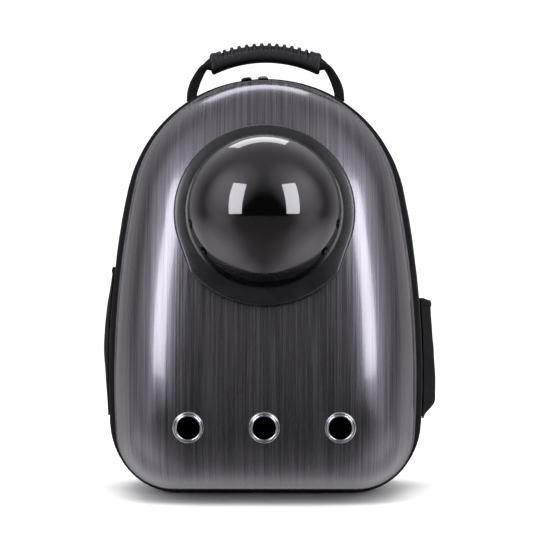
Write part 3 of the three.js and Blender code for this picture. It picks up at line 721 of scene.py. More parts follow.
@dataclass(frozen=True)
class GradedScreen:
    """Studio screen that glows beside the softboxes, at the sides, overhead, behind and on the floor."""

    name: str = "graded_studio_screen"
    colour: str = "#ebe7f0"
    dark: float = 0.035
    glows: tuple[Glow, ...] = (
        Glow((1.0, 0.0, 0.0), 0.5, 1.0, 0.2),
        Glow((0.0, 0.0, 1.0), 0.3, 0.9, 0.46),
        Glow((0.0, 1.0, 0.0), 0.1, 0.7, 0.34),
        Glow((0.82, -0.46, 0.33), 0.78, 0.99, 0.7),
        Glow((0.62, -0.52, 0.58), 0.78, 1.0, 0.55),
        Glow((0.0, 0.0, -1.0), 0.3, 0.95, 0.08),
        Glow((0.52, -0.2, -0.83), 0.7, 1.0, 0.14),
        Glow((0.62, 0.3, -0.72), 0.62, 0.95, 0.6),
        Glow((0.8, -0.3, -0.52), 0.8, 1.0, 0.45))

    def material(self, centre: Sequence[float]) -> bpy.types.Material:
        """Builds the glow from the direction in which each place lies.

        Args:
            centre: where the directions are taken from.
        """
        material = bpy.data.materials.new(self.name)
        material.use_nodes = True
        tree = material.node_tree
        tree.nodes.clear()
        way = add_node(tree, "TexCoord").outputs["Object"]
        for operation, other in (("SUBTRACT", tuple(centre)), ("NORMALIZE", (0, 0, 0))):
            way = add_node(tree, "VectorMath", {"operation": operation}, {0: way, 1: other}).outputs[0]
        parts = add_node(tree, "SeparateXYZ", inputs={0: way}).outputs
        aside = add_node(tree, "Math", {"operation": "ABSOLUTE"}, {0: parts["X"]}).outputs[0]
        way = add_node(tree, "CombineXYZ", inputs={0: aside, 1: parts["Y"], 2: parts["Z"]}).outputs[0]
        total: bpy.types.NodeSocket | float = self.dark
        for glow in self.glows:
            near = add_node(tree, "VectorMath", {"operation": "DOT_PRODUCT"}, {0: way, 1: glow.way})
            step = add_node(tree, "MapRange", {"interpolation_type": "SMOOTHSTEP"}, {
                "Value": near.outputs["Value"], "From Min": glow.start, "From Max": glow.end,
                "To Min": 0.0, "To Max": glow.strength}).outputs[0]
            total = add_node(tree, "Math", {"operation": "ADD"}, {0: step, 1: total}).outputs[0]
        shader = add_node(tree, "Emission", inputs={"Color": linear(self.colour), "Strength": total})
        add_node(tree, "OutputMaterial", inputs={"Surface": shader.outputs[0]})
        return material


@dataclass(frozen=True)
class Finishes:
    """Every finish of the pet carrier, each made once."""

    shell: Finish = BrushedFilm("metallised_brushed_film_gloss", "#454448", 0.27, light="#7c7a80")
    dome: Finish = SmokedPolycarbonate("smoked_polycarbonate_polished", "#5f5a59", 0.01)
    ring: Finish = Moulding("abs_black_satin_moulded", "#0f0f12", 0.27, light="#151518", coat=0.25)
    eyelet: Finish = PlatedMetal("chrome_plate_polished", "#e2e3e6", 0.05, dull="#c4c5c9")
    # One zinc plate drawn twice: the left slider's darker colour is painted shade, the right slider's paler
    # colour is painted light.
    slider_painted_shade: Finish = PlatedMetal("zinc_die_casting_plate_painted_shade", "#3c3c40", 0.32, dull="#2a2a2d")
    slider_painted_light: Finish = PlatedMetal("zinc_die_casting_plate_painted_light", "#b4b4b6", 0.26, dull="#8c8c90")
    coil: Finish = Moulding("nylon_coil_moulded", "#1a1a1d", 0.34, light="#2c2c31", grain=0.5)
    cloth: Finish = WovenCloth("polyester_oxford_woven", "#0a0a0b", 0.84, light="#141416")
    tape: Finish = WovenCloth(
        "polyester_tape_woven", "#080809", 0.82, light="#101012", warp=1.6, weft=0.9, relief=0.16)
    webbing: Finish = WovenCloth(
        "polyester_webbing_ribbed", "#070708", 0.82, light="#0f0f11", warp=2.6, weft=1.5, relief=0.3)
    mesh: Finish = AirMesh("polyester_air_mesh_knitted", "#0e0e10", 0.88)
    rubber: Finish = Moulding(
        "thermoplastic_rubber_satin_moulded", "#070708", 0.5, light="#0c0c0e", grain=0.7, depth=0.05)
    buckle: Finish = Moulding("acetal_black_moulded", "#151618", 0.36, light="#222327", grain=0.6)
    floor: Finish = Moulding("painted_board_matt", "#f2f2f3", 0.75, light="#f7f7f8", grain=2.0, depth=0.01)


LOOKS = Finishes()


@cache
def material_of(finish: Finish) -> bpy.types.Material:
    """Makes a finish's material once, when it is first asked for."""
    return finish.material()


# The rim's outline

@dataclass(frozen=True)
class Rim:
    """The outline that shell, zipper and bag share: base, corners, flanks, shoulders and crown."""

    half_width: float = 154.0
    top: float = 422.0
    foot: float = 5.0
    corner_radius: float = 60.0
    shoulder_share: float = 0.877
    crown_flatness: float = 14.0
    flank_share: float = 2.25
    widest_share: float = 0.28
    tightest: float = 4.0
    corner_ease: float = 1.8
    steps: tuple[int, int, int, int, int] = (6, 14, 24, 21, 6)

    @property
    def crown_radius(self) -> float:
        """Radius of the arc over the top."""
        return self.shoulder_radius + self.crown_flatness

    @property
    def shoulder_radius(self) -> float:
        """Radius of the arcs between the top and the sides."""
        return self.shoulder_share * self.half_width

    @property
    def flank_radius(self) -> float:
        """Radius of the arcs down the sides."""
        return self.flank_share * self.top

    @property
    def widest(self) -> float:
        """Height of the widest place."""
        return self.widest_share * self.top

    def outline(self, side: float, top: float | None = None, foot: float | None = None) -> list[Vector]:
        """Draws the outline, grown outwards.

        Args:
            side: how far the sides are grown.
            top: how far the top is grown; as the sides if not given.
            foot: how far the foot is grown; as the sides if not given.

        Returns:
            Places across and up, from the middle of the base round by the right.
        """
        top = side if top is None else top
        foot = side if foot is None else foot
        crown = Vector((0, self.top - self.crown_radius))
        flank = Vector((self.half_width - self.flank_radius, self.widest))
        crown_r, flank_r = self.crown_radius + top, self.flank_radius + side
        shoulder_r = max(self.tightest, self.shoulder_radius + (side + top) / 2)
        eased_side = max(min(side, foot), self.corner_ease * side)
        corner_r = max(self.tightest, self.corner_radius + eased_side)
        way = crown - flank
        span = way.length
        near, far = flank_r - shoulder_r, crown_r - shoulder_r
        along = (near ** 2 - far ** 2 + span ** 2) / (2 * span)
        aside = math.sqrt(max(0.0, near ** 2 - along ** 2))
        way /= span
        shoulder = Vector((flank.x + way.x * along + way.y * aside, flank.y + way.y * along - way.x * aside))
        other = Vector((flank.x + way.x * along - way.y * aside, flank.y + way.y * along + way.x * aside))
        shoulder = max(shoulder, other, key=lambda centre: centre.y)
        floor = self.foot - foot
        rise = floor + corner_r - flank.y
        corner = Vector((flank.x + math.sqrt((flank_r - corner_r) ** 2 - rise ** 2), floor + corner_r))
        turns = [
            -math.pi / 2,
            math.atan2(corner.y - flank.y, corner.x - flank.x),
            math.atan2(shoulder.y - flank.y, shoulder.x - flank.x),
            math.atan2(shoulder.y - crown.y, shoulder.x - crown.x),
            math.pi / 2,
        ]
        half = [Vector((corner.x * i / self.steps[0], floor)) for i in range(self.steps[0])]
        arcs = ((corner, corner_r), (flank, flank_r), (shoulder, shoulder_r), (crown, crown_r))
        for (centre, radius), start, end, steps in zip(arcs, turns, turns[1:], self.steps[1:]):
            for i in range(steps):
                angle = mixed(start, end, i / steps)
                half.append(centre + radius * Vector((math.cos(angle), math.sin(angle))))
        half.append(Vector((0, crown.y + crown_r)))
        return half + [Vector((-p.x, p.y)) for p in reversed(half[1:-1])]

    def ring(self, back: float, side: float, top: float | None = None, foot: float | None = None) -> Ring:
        """Returns the grown outline as a ring at a distance behind the rim."""
        return [Vector((p.x, back, p.y)) for p in self.outline(side, top, foot)]

    def crown_height(self, x: float, grow: float) -> float:
        """Returns the height of the top over a place across the bag."""
        return self.top - self.crown_radius + math.sqrt((self.crown_radius + grow) ** 2 - x * x)

    def flank_x(self, height: float, grow: float) -> float:
        """Returns how far out the side is at a height."""
        radius = self.flank_radius + grow
        return self.half_width - self.flank_radius + math.sqrt(radius ** 2 - (height - self.widest) ** 2)

    def crown_frame(self, x: float, grow: float, back: float) -> Matrix:
        """Returns a frame on top: X along the outline, Y to the back, Z outwards."""
        lean = math.asin(x / (self.crown_radius + grow))
        place = Matrix.Translation((x, back, self.crown_height(x, grow)))
        return place @ Matrix.Rotation(lean, 4, "Y")


# Hard shell

@dataclass
class HardShell:
    """Thermoformed front shell with its rim lip, bubble opening and eyelet holes."""

    rim: Rim
    depth: float = 118.0
    wall: float = 2.5
    lean: float = 10.0
    lean_start: float = 90.0
    lean_blend: float = 80.0
    edge_power: float = 6.0
    face_power: float = 2.2
    lip: float = 2.5
    lip_thickness: float = 3.0
    face_share: float = 0.403
    edge_rows: int = 36
    edge_reach: float = 0.74
    face_step: float = 0.02
    bubble_height: float = 284.3
    ring_radius: float = 88.6
    opening_radius: float = 83.8
    eyelet_height: float = 77.0
    eyelet_spacing: float = 73.0
    eyelet_radius: float = 15.2
    eyelet_hole: float = 12.3
    film_turn: float = 26.0

    @property
    def face_height(self) -> float:
        """Height of the middle of the front face."""
        return self.face_share * self.rim.top

    def face_depth(self, height: float) -> float:
        """Returns how far the front face stands off the rim at a height."""
        rise = max(0.0, height - self.lean_start)
        run = rise ** 2 / (2 * self.lean_blend) if rise < self.lean_blend else rise - self.lean_blend / 2
        return self.depth - run * math.tan(math.radians(self.lean))

    def lift(self, reach: float) -> float:
        """Returns the share of the depth that is reached at a share of the way out to the rim."""
        return max(0.0, 1 - reach ** self.edge_power) ** (1 / self.face_power)

    def reach_at(self, x: float, height: float) -> float:
        """Returns the share of the way from the face's middle out to the rim at a place."""
        middle = Vector((0, self.face_height))
        outline = [p - middle for p in self.rim.outline(-self.lip)]
        way = Vector((x, height)) - middle
        for a, b in zip(outline, outline[1:] + outline[:1]):
            edge = b - a
            turn = way.x * edge.y - way.y * edge.x
            if turn > 0 and -1e-9 <= (a.x * way.y - a.y * way.x) / turn <= 1:
                return turn / (a.x * edge.y - a.y * edge.x)
        return 0.0

    def face_point(self, x: float, height: float) -> Vector:
        """Returns the place on the front face over a place across and up."""
        return Vector((x, -self.face_depth(height) * self.lift(self.reach_at(x, height)), height))

    def span_on_face(self, x: float, height: float, radius: float) -> tuple[Vector, Vector]:
        """Returns the places on the face a radius below and above a height."""
        return self.face_point(x, height - radius), self.face_point(x, height + radius)

    @staticmethod
    def frame_on_face(low: Vector, high: Vector, middle: Vector) -> Matrix:
        """Returns a frame on the face: X right, Y up along the face, Z outwards."""
        right = Vector((1, 0, 0))
        up = (high - low).normalized()
        return framed(right, up, right.cross(up), middle)

    def bubble_frame(self) -> Matrix:
        """Returns the frame that the bubble is seated in."""
        low, high = self.span_on_face(0, self.bubble_height, self.ring_radius)
        return self.frame_on_face(low, high, (low + high) / 2)

    def eyelet_frame(self, x: float) -> Matrix:
        """Returns the frame of the eyelet at a place across."""
        low, high = self.span_on_face(x, self.eyelet_height, self.eyelet_radius)
        return self.frame_on_face(low, high, self.face_point(x, self.eyelet_height))

    def eyelet_places(self) -> list[float]:
        """Returns how far across each eyelet is."""
        return [-self.eyelet_spacing, 0.0, self.eyelet_spacing]

    def form(self, grow: float, deeper: float) -> list[Ring]:
        """Draws the shell's form from just inside the lip to the face's middle.

        Args:
            grow: how far the surface is moved outwards.
            deeper: rows nearer the rim's plane than this are left out.

        Returns:
            The rings; the last one is a single place.
        """
        shares = [math.cos(i / self.edge_rows * math.pi / 2) ** (2 / self.edge_power)
                  for i in range(1, self.edge_rows)]
        shares = [share for share in shares if share > self.edge_reach]
        while shares[-1] > self.face_step:
            shares.append(shares[-1] - self.face_step)
        outline = self.rim.outline(grow - self.lip)
        rings: list[Ring] = []
        for reach in [*shares, 0.0]:
            heights = [mixed(self.face_height, p.y, reach) for p in outline]
            ring = [Vector((p.x * reach, -(self.face_depth(h) + grow) * self.lift(reach), h))
                    for p, h in zip(outline, heights)]
            if min(-p.y for p in ring) > deeper:
                rings.append(ring)
        return rings

    def lay_film(self, skin: bpy.types.Object) -> None:
        """Lays the film's UV map: V is up, U is across and then back round the sides."""
        middles: dict[int, float] = {}
        uv = skin.data.uv_layers.active.data
        for loop in skin.data.loops:
            place = skin.data.vertices[loop.vertex_index].co
            height = round(place.z / MM)
            if height not in middles:
                middles[height] = placed(self.face_point(0, height)).y
            behind = max(0.0, place.y - middles[height] - self.film_turn * MM)
            uv[loop.index].uv = (place.x + math.copysign(behind, place.x), place.z)

    def build(self) -> None:
        """Models the shell's skin, cuts its openings, and dresses it."""
        edge = self.lip_thickness
        lip = [(0.0, 0.0), (0.0, -edge + 1.7), (-0.2, -edge + 1.15), (-0.7, -edge + 0.72),
               (-self.lip + 0.2, -edge + 0.05)]
        outside = [self.rim.ring(back, grow) for grow, back in lip]
        outside.append(self.rim.ring(-edge - 0.2, -self.lip))
        outside += self.form(0.0, edge + 0.2)
        inner = self.wall + self.lip
        inside = [self.rim.ring(0.0, 0.0), self.rim.ring(0.0, -inner), *self.form(-self.wall, 0.5)]
        skin = joined("shell_skin", [
            lofted("shell_outside", outside, fill=False), lofted("shell_inside", inside, fill=False)])
        closed(skin)
        reach = self.depth / 2
        cut(skin, rod(self.opening_radius, -reach, reach, self.bubble_frame(), 128))
        for x in self.eyelet_places():
            cut(skin, rod(self.eyelet_hole, -reach / 2, reach / 2, self.eyelet_frame(x)))
        self.lay_film(skin)
        handed_over(smoothed(skin, 40), LOOKS.shell, ["hard_shell"])


# Bubble

@dataclass
class Bubble:
    """Smoked dome held behind a black ring with a heavier chin."""

    shell: HardShell
    proud: float = 9.0
    slope: float = 1.1
    shoulder: float = 2.6
    straight: float = 17.0
    cheek_angle: float = 40.3
    cheek_proud: float = 6.0
    chin_step: float = 2.4
    chin_flatness: float = 6.4
    chin_drop: float = 5.2
    collar: float = 10.0
    collar_wall: float = 2.4
    dome_radius: float = 77.2
    dome_height: float = 74.0
    dome_wall: float = 2.5
    dome_base: float = 3.0
    flange: float = 3.6
    flange_thickness: float = 2.7
    seat: float = 1.0
    vent_radius: float = 4.6
    vent_polar: float = 72.0
    vent_bearings: tuple[float, float] = (-14.0, -38.0)
    steps: int = 128

    def contour(self) -> list[Vector]:
        """Draws the ring's outer edge: a circle, straight cheeks, and a flatter chin."""
        radius = self.shell.ring_radius
        start, cheek = math.radians(self.straight), math.radians(self.cheek_angle)
        cheek_r = radius + self.cheek_proud
        corner = Vector((cheek_r * math.cos(cheek), -cheek_r * math.sin(cheek)))
        chin_r = radius + self.chin_flatness
        chin_end = math.acos((corner.x - self.chin_step) / chin_r)
        top = [radius * Vector((math.cos(a), math.sin(a))) for a in
               (mixed(-start, math.pi + start, i / 84) for i in range(85))]
        left = [top[-1].lerp(Vector((-corner.x, corner.y)), i / 8) for i in range(1, 9)]
        lift = self.chin_flatness - self.chin_drop
        chin = [Vector((chin_r * math.cos(a), lift + chin_r * math.sin(a))) for a in
                (mixed(math.pi + chin_end, 2 * math.pi - chin_end, i / 44) for i in range(45))]
        right = [Vector(corner).lerp(top[0], i / 8) for i in range(8)]
        return top + left + chin + right

    def height_on_shell(self, frame: Matrix, place: Vector) -> float:
        """Returns the shell's height off the seat under a place in the bubble's frame."""
        height = 0.0
        for _ in range(4):
            point = frame @ Vector((place.x, place.y, height))
            height += point.y - self.shell.face_point(point.x, point.z).y
        return height

    def ring_rings(self, frame: Matrix) -> list[Ring]:
        """Draws the ring's section round its contour, in the rim's frame."""
        bore = self.dome_radius + CLEAR
        pocket = bore + self.flange
        contour = self.contour()
        arc = [math.radians(a) for a in (0, 18, 36, 54, 72, 90)]
        section: list[tuple[float, float, float | None]] = []
        outer_level = self.proud - self.slope
        section += [(0.0, self.shoulder * (1 - math.cos(a)), outer_level + self.shoulder * (math.sin(a) - 1))
                    for a in arc]
        section.append((0.5, 0.0, self.proud - self.slope * 0.36))
        inner = 1.6
        section += [(1.0, -inner * (1 - math.sin(a)), self.proud - inner + inner * math.cos(a)) for a in arc]
        section += [(1.0, 0.0, -self.seat), (1.0, pocket - bore, -self.seat),
                    (1.0, pocket - bore, -self.collar), (1.0, pocket - bore + self.collar_wall, -self.collar),
                    (1.0, pocket - bore + self.collar_wall, None), (0.0, 0.0, None)]
        rings: list[Ring] = []
        for share, offset, height in section:
            ring: Ring = []
            for outer in contour:
                way = outer.normalized()
                if share == 1.0:
                    place = way * (bore + offset)
                elif share == 0.0:
                    place = way * (outer.length - offset)
                else:
                    place = way * mixed(outer.length, bore, share)
                level = height
                if level is None:
                    level = self.height_on_shell(frame, place) + CLEAR
                ring.append(frame @ Vector((place.x, place.y, level)))
            rings.append(ring)
        return [*rings, rings[0]]

    def dome(self, frame: Matrix) -> bpy.types.Object:
        """Turns the dome with its flange, and drills its vents."""
        top = -self.seat - CLEAR
        foot = top - self.flange_thickness
        arcs = []
        for inset in (0.0, self.dome_wall):
            radius, height = self.dome_radius - inset, self.dome_height - inset
            arcs.append([(radius * math.cos(a), self.dome_base + height * math.sin(a))
                         for a in (i / 40 * math.pi / 2 for i in range(41))])
        outside, inside = arcs
        rim = [(self.dome_radius - self.dome_wall, foot), (self.dome_radius + self.flange, foot),
               (self.dome_radius + self.flange, top), (self.dome_radius, top)]
        skins = [turned("dome_outside", [*rim, *outside[:-1], (0.0, outside[-1][1])], self.steps),
                 turned("dome_inside", [rim[0], *inside[:-1], (0.0, inside[-1][1])], self.steps)]
        piece = closed(settled(joined("bubble_clear", skins), placed_frame(frame)))
        for bearing in (b for low in self.vent_bearings for b in (low, 180 - low)):
            drill = (Matrix.Translation((0, 0, self.dome_base))
                     @ Matrix.Rotation(math.radians(bearing), 4, "Z")
                     @ Matrix.Rotation(math.radians(self.vent_polar), 4, "Y"))
            cut(piece, rod(self.vent_radius, self.dome_radius / 2, 2 * self.dome_radius, frame @ drill))
        return piece

    def build(self) -> None:
        """Models and dresses the ring and the dome."""
        frame = self.shell.bubble_frame()
        ring = lofted("bubble_bezel", self.ring_rings(frame), fill=False)
        handed_over(smoothed(ring, 50), LOOKS.ring, ["bubble_ring"])
        dome = self.dome(frame)
        handed_over(smoothed(dome, 50), LOOKS.dome, ["bubble_dome"])


@dataclass
class Eyelets:
    """Chrome eyelets with a rolled flange."""

    shell: HardShell
    bore: float = 11.0
    proud: float = 2.6
    barrel_wall: float = 1.0
    barrel_depth: float = 6.0
    steps: int = 64

    def profile(self) -> list[tuple[float, float]]:
        """Returns the section: barrel, rolled inner crown, groove, low outer bead, edge down on the shell."""
        outer, bore, proud = self.shell.eyelet_radius, self.bore, self.proud
        beads = ((bore, bore + 2.5, proud, 0.0), (bore + 2.5, outer - 0.5, proud * 0.5, 0.5))
        roll = [(mixed(near, far, (1 - math.cos(a)) / 2), low + (high - low) * math.sin(a) ** 0.8)
                for near, far, high, low in beads for a in (math.radians(d) for d in range(15, 166, 15))]
        barrel = bore + self.barrel_wall
        return [(bore, -self.barrel_depth), *roll, (outer - 0.5, 0.1), (outer, -0.4), (barrel, -0.4),
                (barrel, -self.barrel_depth), (bore, -self.barrel_depth)]

    def build(self) -> None:
        """Turns one eyelet for each place."""
        for name, x in zip(("left", "middle", "right"), self.shell.eyelet_places()):
            piece = turned(f"eyelet_rolled_{name}", self.profile(), self.steps)
            settled(piece, placed_frame(self.shell.eyelet_frame(x)))
            handed_over(closed(smoothed(piece, 40)), LOOKS.eyelet,
                        [f"eyelet_{name}"])


# Zipper

@dataclass
class Zipper:
    """Tape with a row of coil teeth all round the rim, two sliders on top, and their pulls."""

    rim: Rim
    width: float = 10.0
    tape: float = 3.0
    inset: float = 0.5
    tooth: tuple[float, float, float] = (1.7, 2.6, 1.7)
    tooth_shift: float = 0.75
    tooth_rise: float = 0.35
    pitch: float = 2.9
    teeth_width: float = 4.6
    slider_length: float = 10.8
    slider_rise: float = 4.8
    slider_places: tuple[float, float] = (-19.0, -2.4)
    pull: tuple[float, float, float] = (7.0, 26.0, 1.8)
    pull_rise: float = 3.0

    def band(self) -> bpy.types.Object:
        """Lofts the tape, with a shallow bed for the teeth and rolled edges."""
        edge, bed = 0.5, 0.4
        middle = CLEAR + self.width / 2
        half = self.teeth_width / 2
        top, low = -self.inset, -self.inset - self.tape
        front, back = CLEAR, CLEAR + self.width
        section = [
            (front, low + edge), (front, top - edge), (front + edge, top), (middle - half - 0.4, top),
            (middle - half, top - bed), (middle + half, top - bed), (middle + half + 0.4, top),
            (back - edge, top), (back, top - edge), (back, low + edge), (back - edge, low),
            (front + edge, low), (front, low + edge)]
        return smoothed(lofted("zipper_tape", [self.rim.ring(y, out) for y, out in section], fill=False), 60)

    def teeth(self) -> bpy.types.Object:
        """Copies one rounded tooth all round the outline, to one side and the other in turn."""
        model = block("tooth", self.tooth, 0.45, 1)
        outline = self.rim.outline(-self.inset)
        loop = [Vector((p.x, 0, p.y)) for p in [*outline, outline[0]]]
        length = sum((b - a).length for a, b in zip(loop, loop[1:]))
        places = evenly_along(loop, round(length / self.pitch))
        frames: list[Matrix] = []
        for i, (here, there) in enumerate(zip(places, places[1:])):
            along = (there - here).normalized()
            out = Vector((0, 1, 0)).cross(along) * -1
            side = self.tooth_shift if i % 2 else -self.tooth_shift
            seat = here + out * self.tooth_rise + Vector((0, CLEAR + self.width / 2 + side, 0))
            frames.append(placed_frame(framed(along, Vector((0, 1, 0)), out, seat)))
        return smoothed(repeated("zipper_teeth", model, frames), 40)

    def slider(self, name: str, x: float) -> bpy.types.Object:
        """Models a slider: a shield with a waist, and the bridge that its pull hangs in."""
        length, rise = self.slider_length, self.slider_rise
        plate = block(f"{name}_plate", (length, self.width - 0.6, 2.2), 0.9, 3)
        with edited(plate, "FACE"):
            bpy.ops.mesh.subdivide(number_cuts=1)
        settled(plate, Matrix.Translation((0, 0, 2.9)))
        bridge = block(f"{name}_bridge", (length * 0.72, 3.6, rise - 2.6), 1.0, 3)
        settled(bridge, Matrix.Translation((0, 0, (rise + 3.4) / 2 - 0.1)))
        nose = block(f"{name}_nose", (1.6, 2.4, 3.0), 0.5, 2)
        settled(nose, Matrix.Translation((length * 0.36, 0, 3.2)))
        body = joined(name, [plate, bridge, nose])
        seat = self.rim.crown_frame(x, -self.inset, CLEAR + self.width / 2)
        return smoothed(settled(body, placed_frame(seat)))

    def pull_tab(self, name: str, x: float) -> bpy.types.Object:
        """Models a pull: a flat tab with a slot, lying on the bag behind its slider."""
        wide, long, thick = self.pull
        tab = block(name, self.pull, 0.7, 2)
        slot = block("slot", (wide * 0.42, long * 0.4, thick * 3), 0.8, 2)
        settled(slot, Matrix.Translation((0, long * 0.16, 0)))
        cut(tab, slot)
        rise = self.pull_rise + CLEAR + thick / 2
        back = CLEAR * 2 + self.width + long / 2
        return smoothed(settled(tab, placed_frame(self.rim.crown_frame(x, rise, back))))

    def build(self) -> None:
        """Models and dresses tape, teeth, sliders and pulls."""
        handed_over(self.band(), LOOKS.tape, ["zipper_band"])
        handed_over(self.teeth(), LOOKS.coil)
        # Both sliders and pulls are one plate: the left ones are painted darker as painted shade, the right
        # ones paler as painted light.
        plates = (LOOKS.slider_painted_shade, LOOKS.slider_painted_light)
        for side, x, plate in zip(("left", "right"), self.slider_places, plates):
            slider = self.slider(f"slider_{side}", x)
            handed_over(slider, plate, [f"zipper_slider_{side}"])
            pull = self.pull_tab(f"pull_{side}", x)
            handed_over(pull, plate, [f"zipper_pull_{side}"])


# Soft bag

@dataclass(frozen=True)
class PocketShape:
    """One side pocket's size and how far it stands off the bag.

    From its foot it fills up to a share of its height, filled_at, and from there it lies closer
    again, to a share of its stand-off at the top, top_share.
    """

    name: str
    hand: int
    foot: float
    top: float
    stand_off: float
    hem_drop: float
    filled_at: float
    top_share: float


@dataclass
class SoftBag:
    """Sewn gusset, base and back, with its seams bound in tape."""

    rim: Rim
    front: float = 10.6
    depth: float = 125.0
    bulge: float = 10.0
    crown_bulge: float = 3.0
    back_round: float = 18.0
    cloth: float = 2.5
    hem: float = 6.0
    hem_inset: float = 3.5
    pucker: float = 0.8
    fold_size: float = 34.0
    crease_size: float = 13.0
    rows: tuple[tuple[float, float, float], ...] = (
        (0.0, 0.45, 0.0), (0.08, 0.75, 0.0), (0.35, 1.0, 0.0), (0.62, 0.9, 0.0),
        (0.86, 0.5, 0.0), (0.94, 0.35, 0.16), (0.98, 0.2, 0.48), (1.0, 0.1, 1.0))

    @property
    def back(self) -> float:
        """Distance from the rim to the back of the bag."""
        return self.front + self.depth

    def puckered(self, ring: Ring, strength: float) -> Ring:
        """Moves a ring's places inwards and outwards as sewn cloth lies, but not under the base."""
        middle = Vector((0, 0, self.rim.widest))
        moved: Ring = []
        for place in ring:
            way = Vector((place.x - middle.x, 0, place.z - middle.z)).normalized()
            wave = noise.noise(Vector((place.x, place.y * 1.6, place.z)) / self.fold_size)
            wave += 0.5 * noise.noise(Vector((place.x, place.y * 1.3, place.z)) / self.crease_size)
            free = eased((place.z - 6) / 40)
            moved.append(place + way * (wave - 0.5) * self.pucker * strength * free)
        return moved

    def gusset(self, grow: float, front: float, back: float, spans: int) -> list[Ring]:
        """Draws the bag's form between two places behind the rim.

        Args:
            grow: how far it is grown outwards.
            front: where it starts.
            back: where it ends.
            spans: how many rows there are between two rows of the table.

        Returns:
            The rings from front to back.
        """
        knots = [Vector(row) for row in self.rows]
        rows: list[Vector] = []
        for i, (here, there) in enumerate(zip(knots, knots[1:])):
            before = knots[max(0, i - 1)]
            after = knots[min(len(knots) - 1, i + 2)]
            for k in range(spans):
                t = k / spans
                slope_in = (there - before) / 2 if i else there - here
                slope_out = (after - here) / 2 if i < len(knots) - 2 else there - here
                rows.append(
                    (2 * t ** 3 - 3 * t * t + 1) * here + (t ** 3 - 2 * t * t + t) * slope_in
                    + (3 * t * t - 2 * t ** 3) * there + (t ** 3 - t * t) * slope_out)
        rows.append(knots[-1])
        rings = []
        for share, bulge, taken in rows:
            inset = grow - self.back_round * taken
            ring = self.rim.ring(mixed(front, back, share), self.bulge * bulge + inset,
                                 self.crown_bulge * bulge + inset, self.rim.foot + inset)
            rings.append(self.puckered(ring, eased(share * 8) * eased((1 - share) * 8)))
        return rings

    def body(self) -> bpy.types.Object:
        """Lofts the outside and the lining, joined at the hem, with a smooth back."""
        middle = Vector((0, self.back, self.rim.widest))
        outside = self.gusset(0.0, self.front, self.back, 6)
        inside = self.gusset(-self.cloth, self.front + self.hem, self.back - self.cloth, 2)
        mouth = [outside[0], self.rim.ring(self.front, -self.hem_inset),
                 self.rim.ring(self.front + self.hem, -self.hem_inset)]
        for skin, back in ((outside, self.back), (inside, self.back - self.cloth)):
            middle.y = back
            edge = skin[-1]
            skin += [[middle.lerp(place, share) for place in edge] for share in (0.8, 0.5, 0.2, 0.0)]
        skins = [lofted("bag_outside", outside, fill=False),
                 lofted("bag_inside", [*mouth, *inside], fill=False)]
        return smoothed(closed(joined("bag_cloth", skins)), 50)

    def seam(self, name: str, back: float, side: float, top: float, radius: float) -> bpy.types.Object:
        """Lays a bound seam round the bag: a rounded tape that stays clear of the floor."""
        low = self.rim.foot - radius - CLEAR + min(0.0, side)
        return smoothed(lofted(name, [
            self.rim.ring(back + aft, side + out, top + out, low + out)
            for out, aft in bound(radius, 1.6)], fill=False), 70)

    def build(self) -> None:
        """Models and dresses the bag and its bound seams."""
        handed_over(self.body(), LOOKS.cloth, ["fabric_body"])
        hem = self.seam("seam_front", self.front + 2.6, self.bulge * 0.52, self.crown_bulge * 0.52, 1.1)
        handed_over(hem, LOOKS.tape)
        edge = self.seam("seam_back", self.back - 5.2, -self.back_round * 0.27, -self.back_round * 0.29, 1.7)
        handed_over(edge, LOOKS.tape)


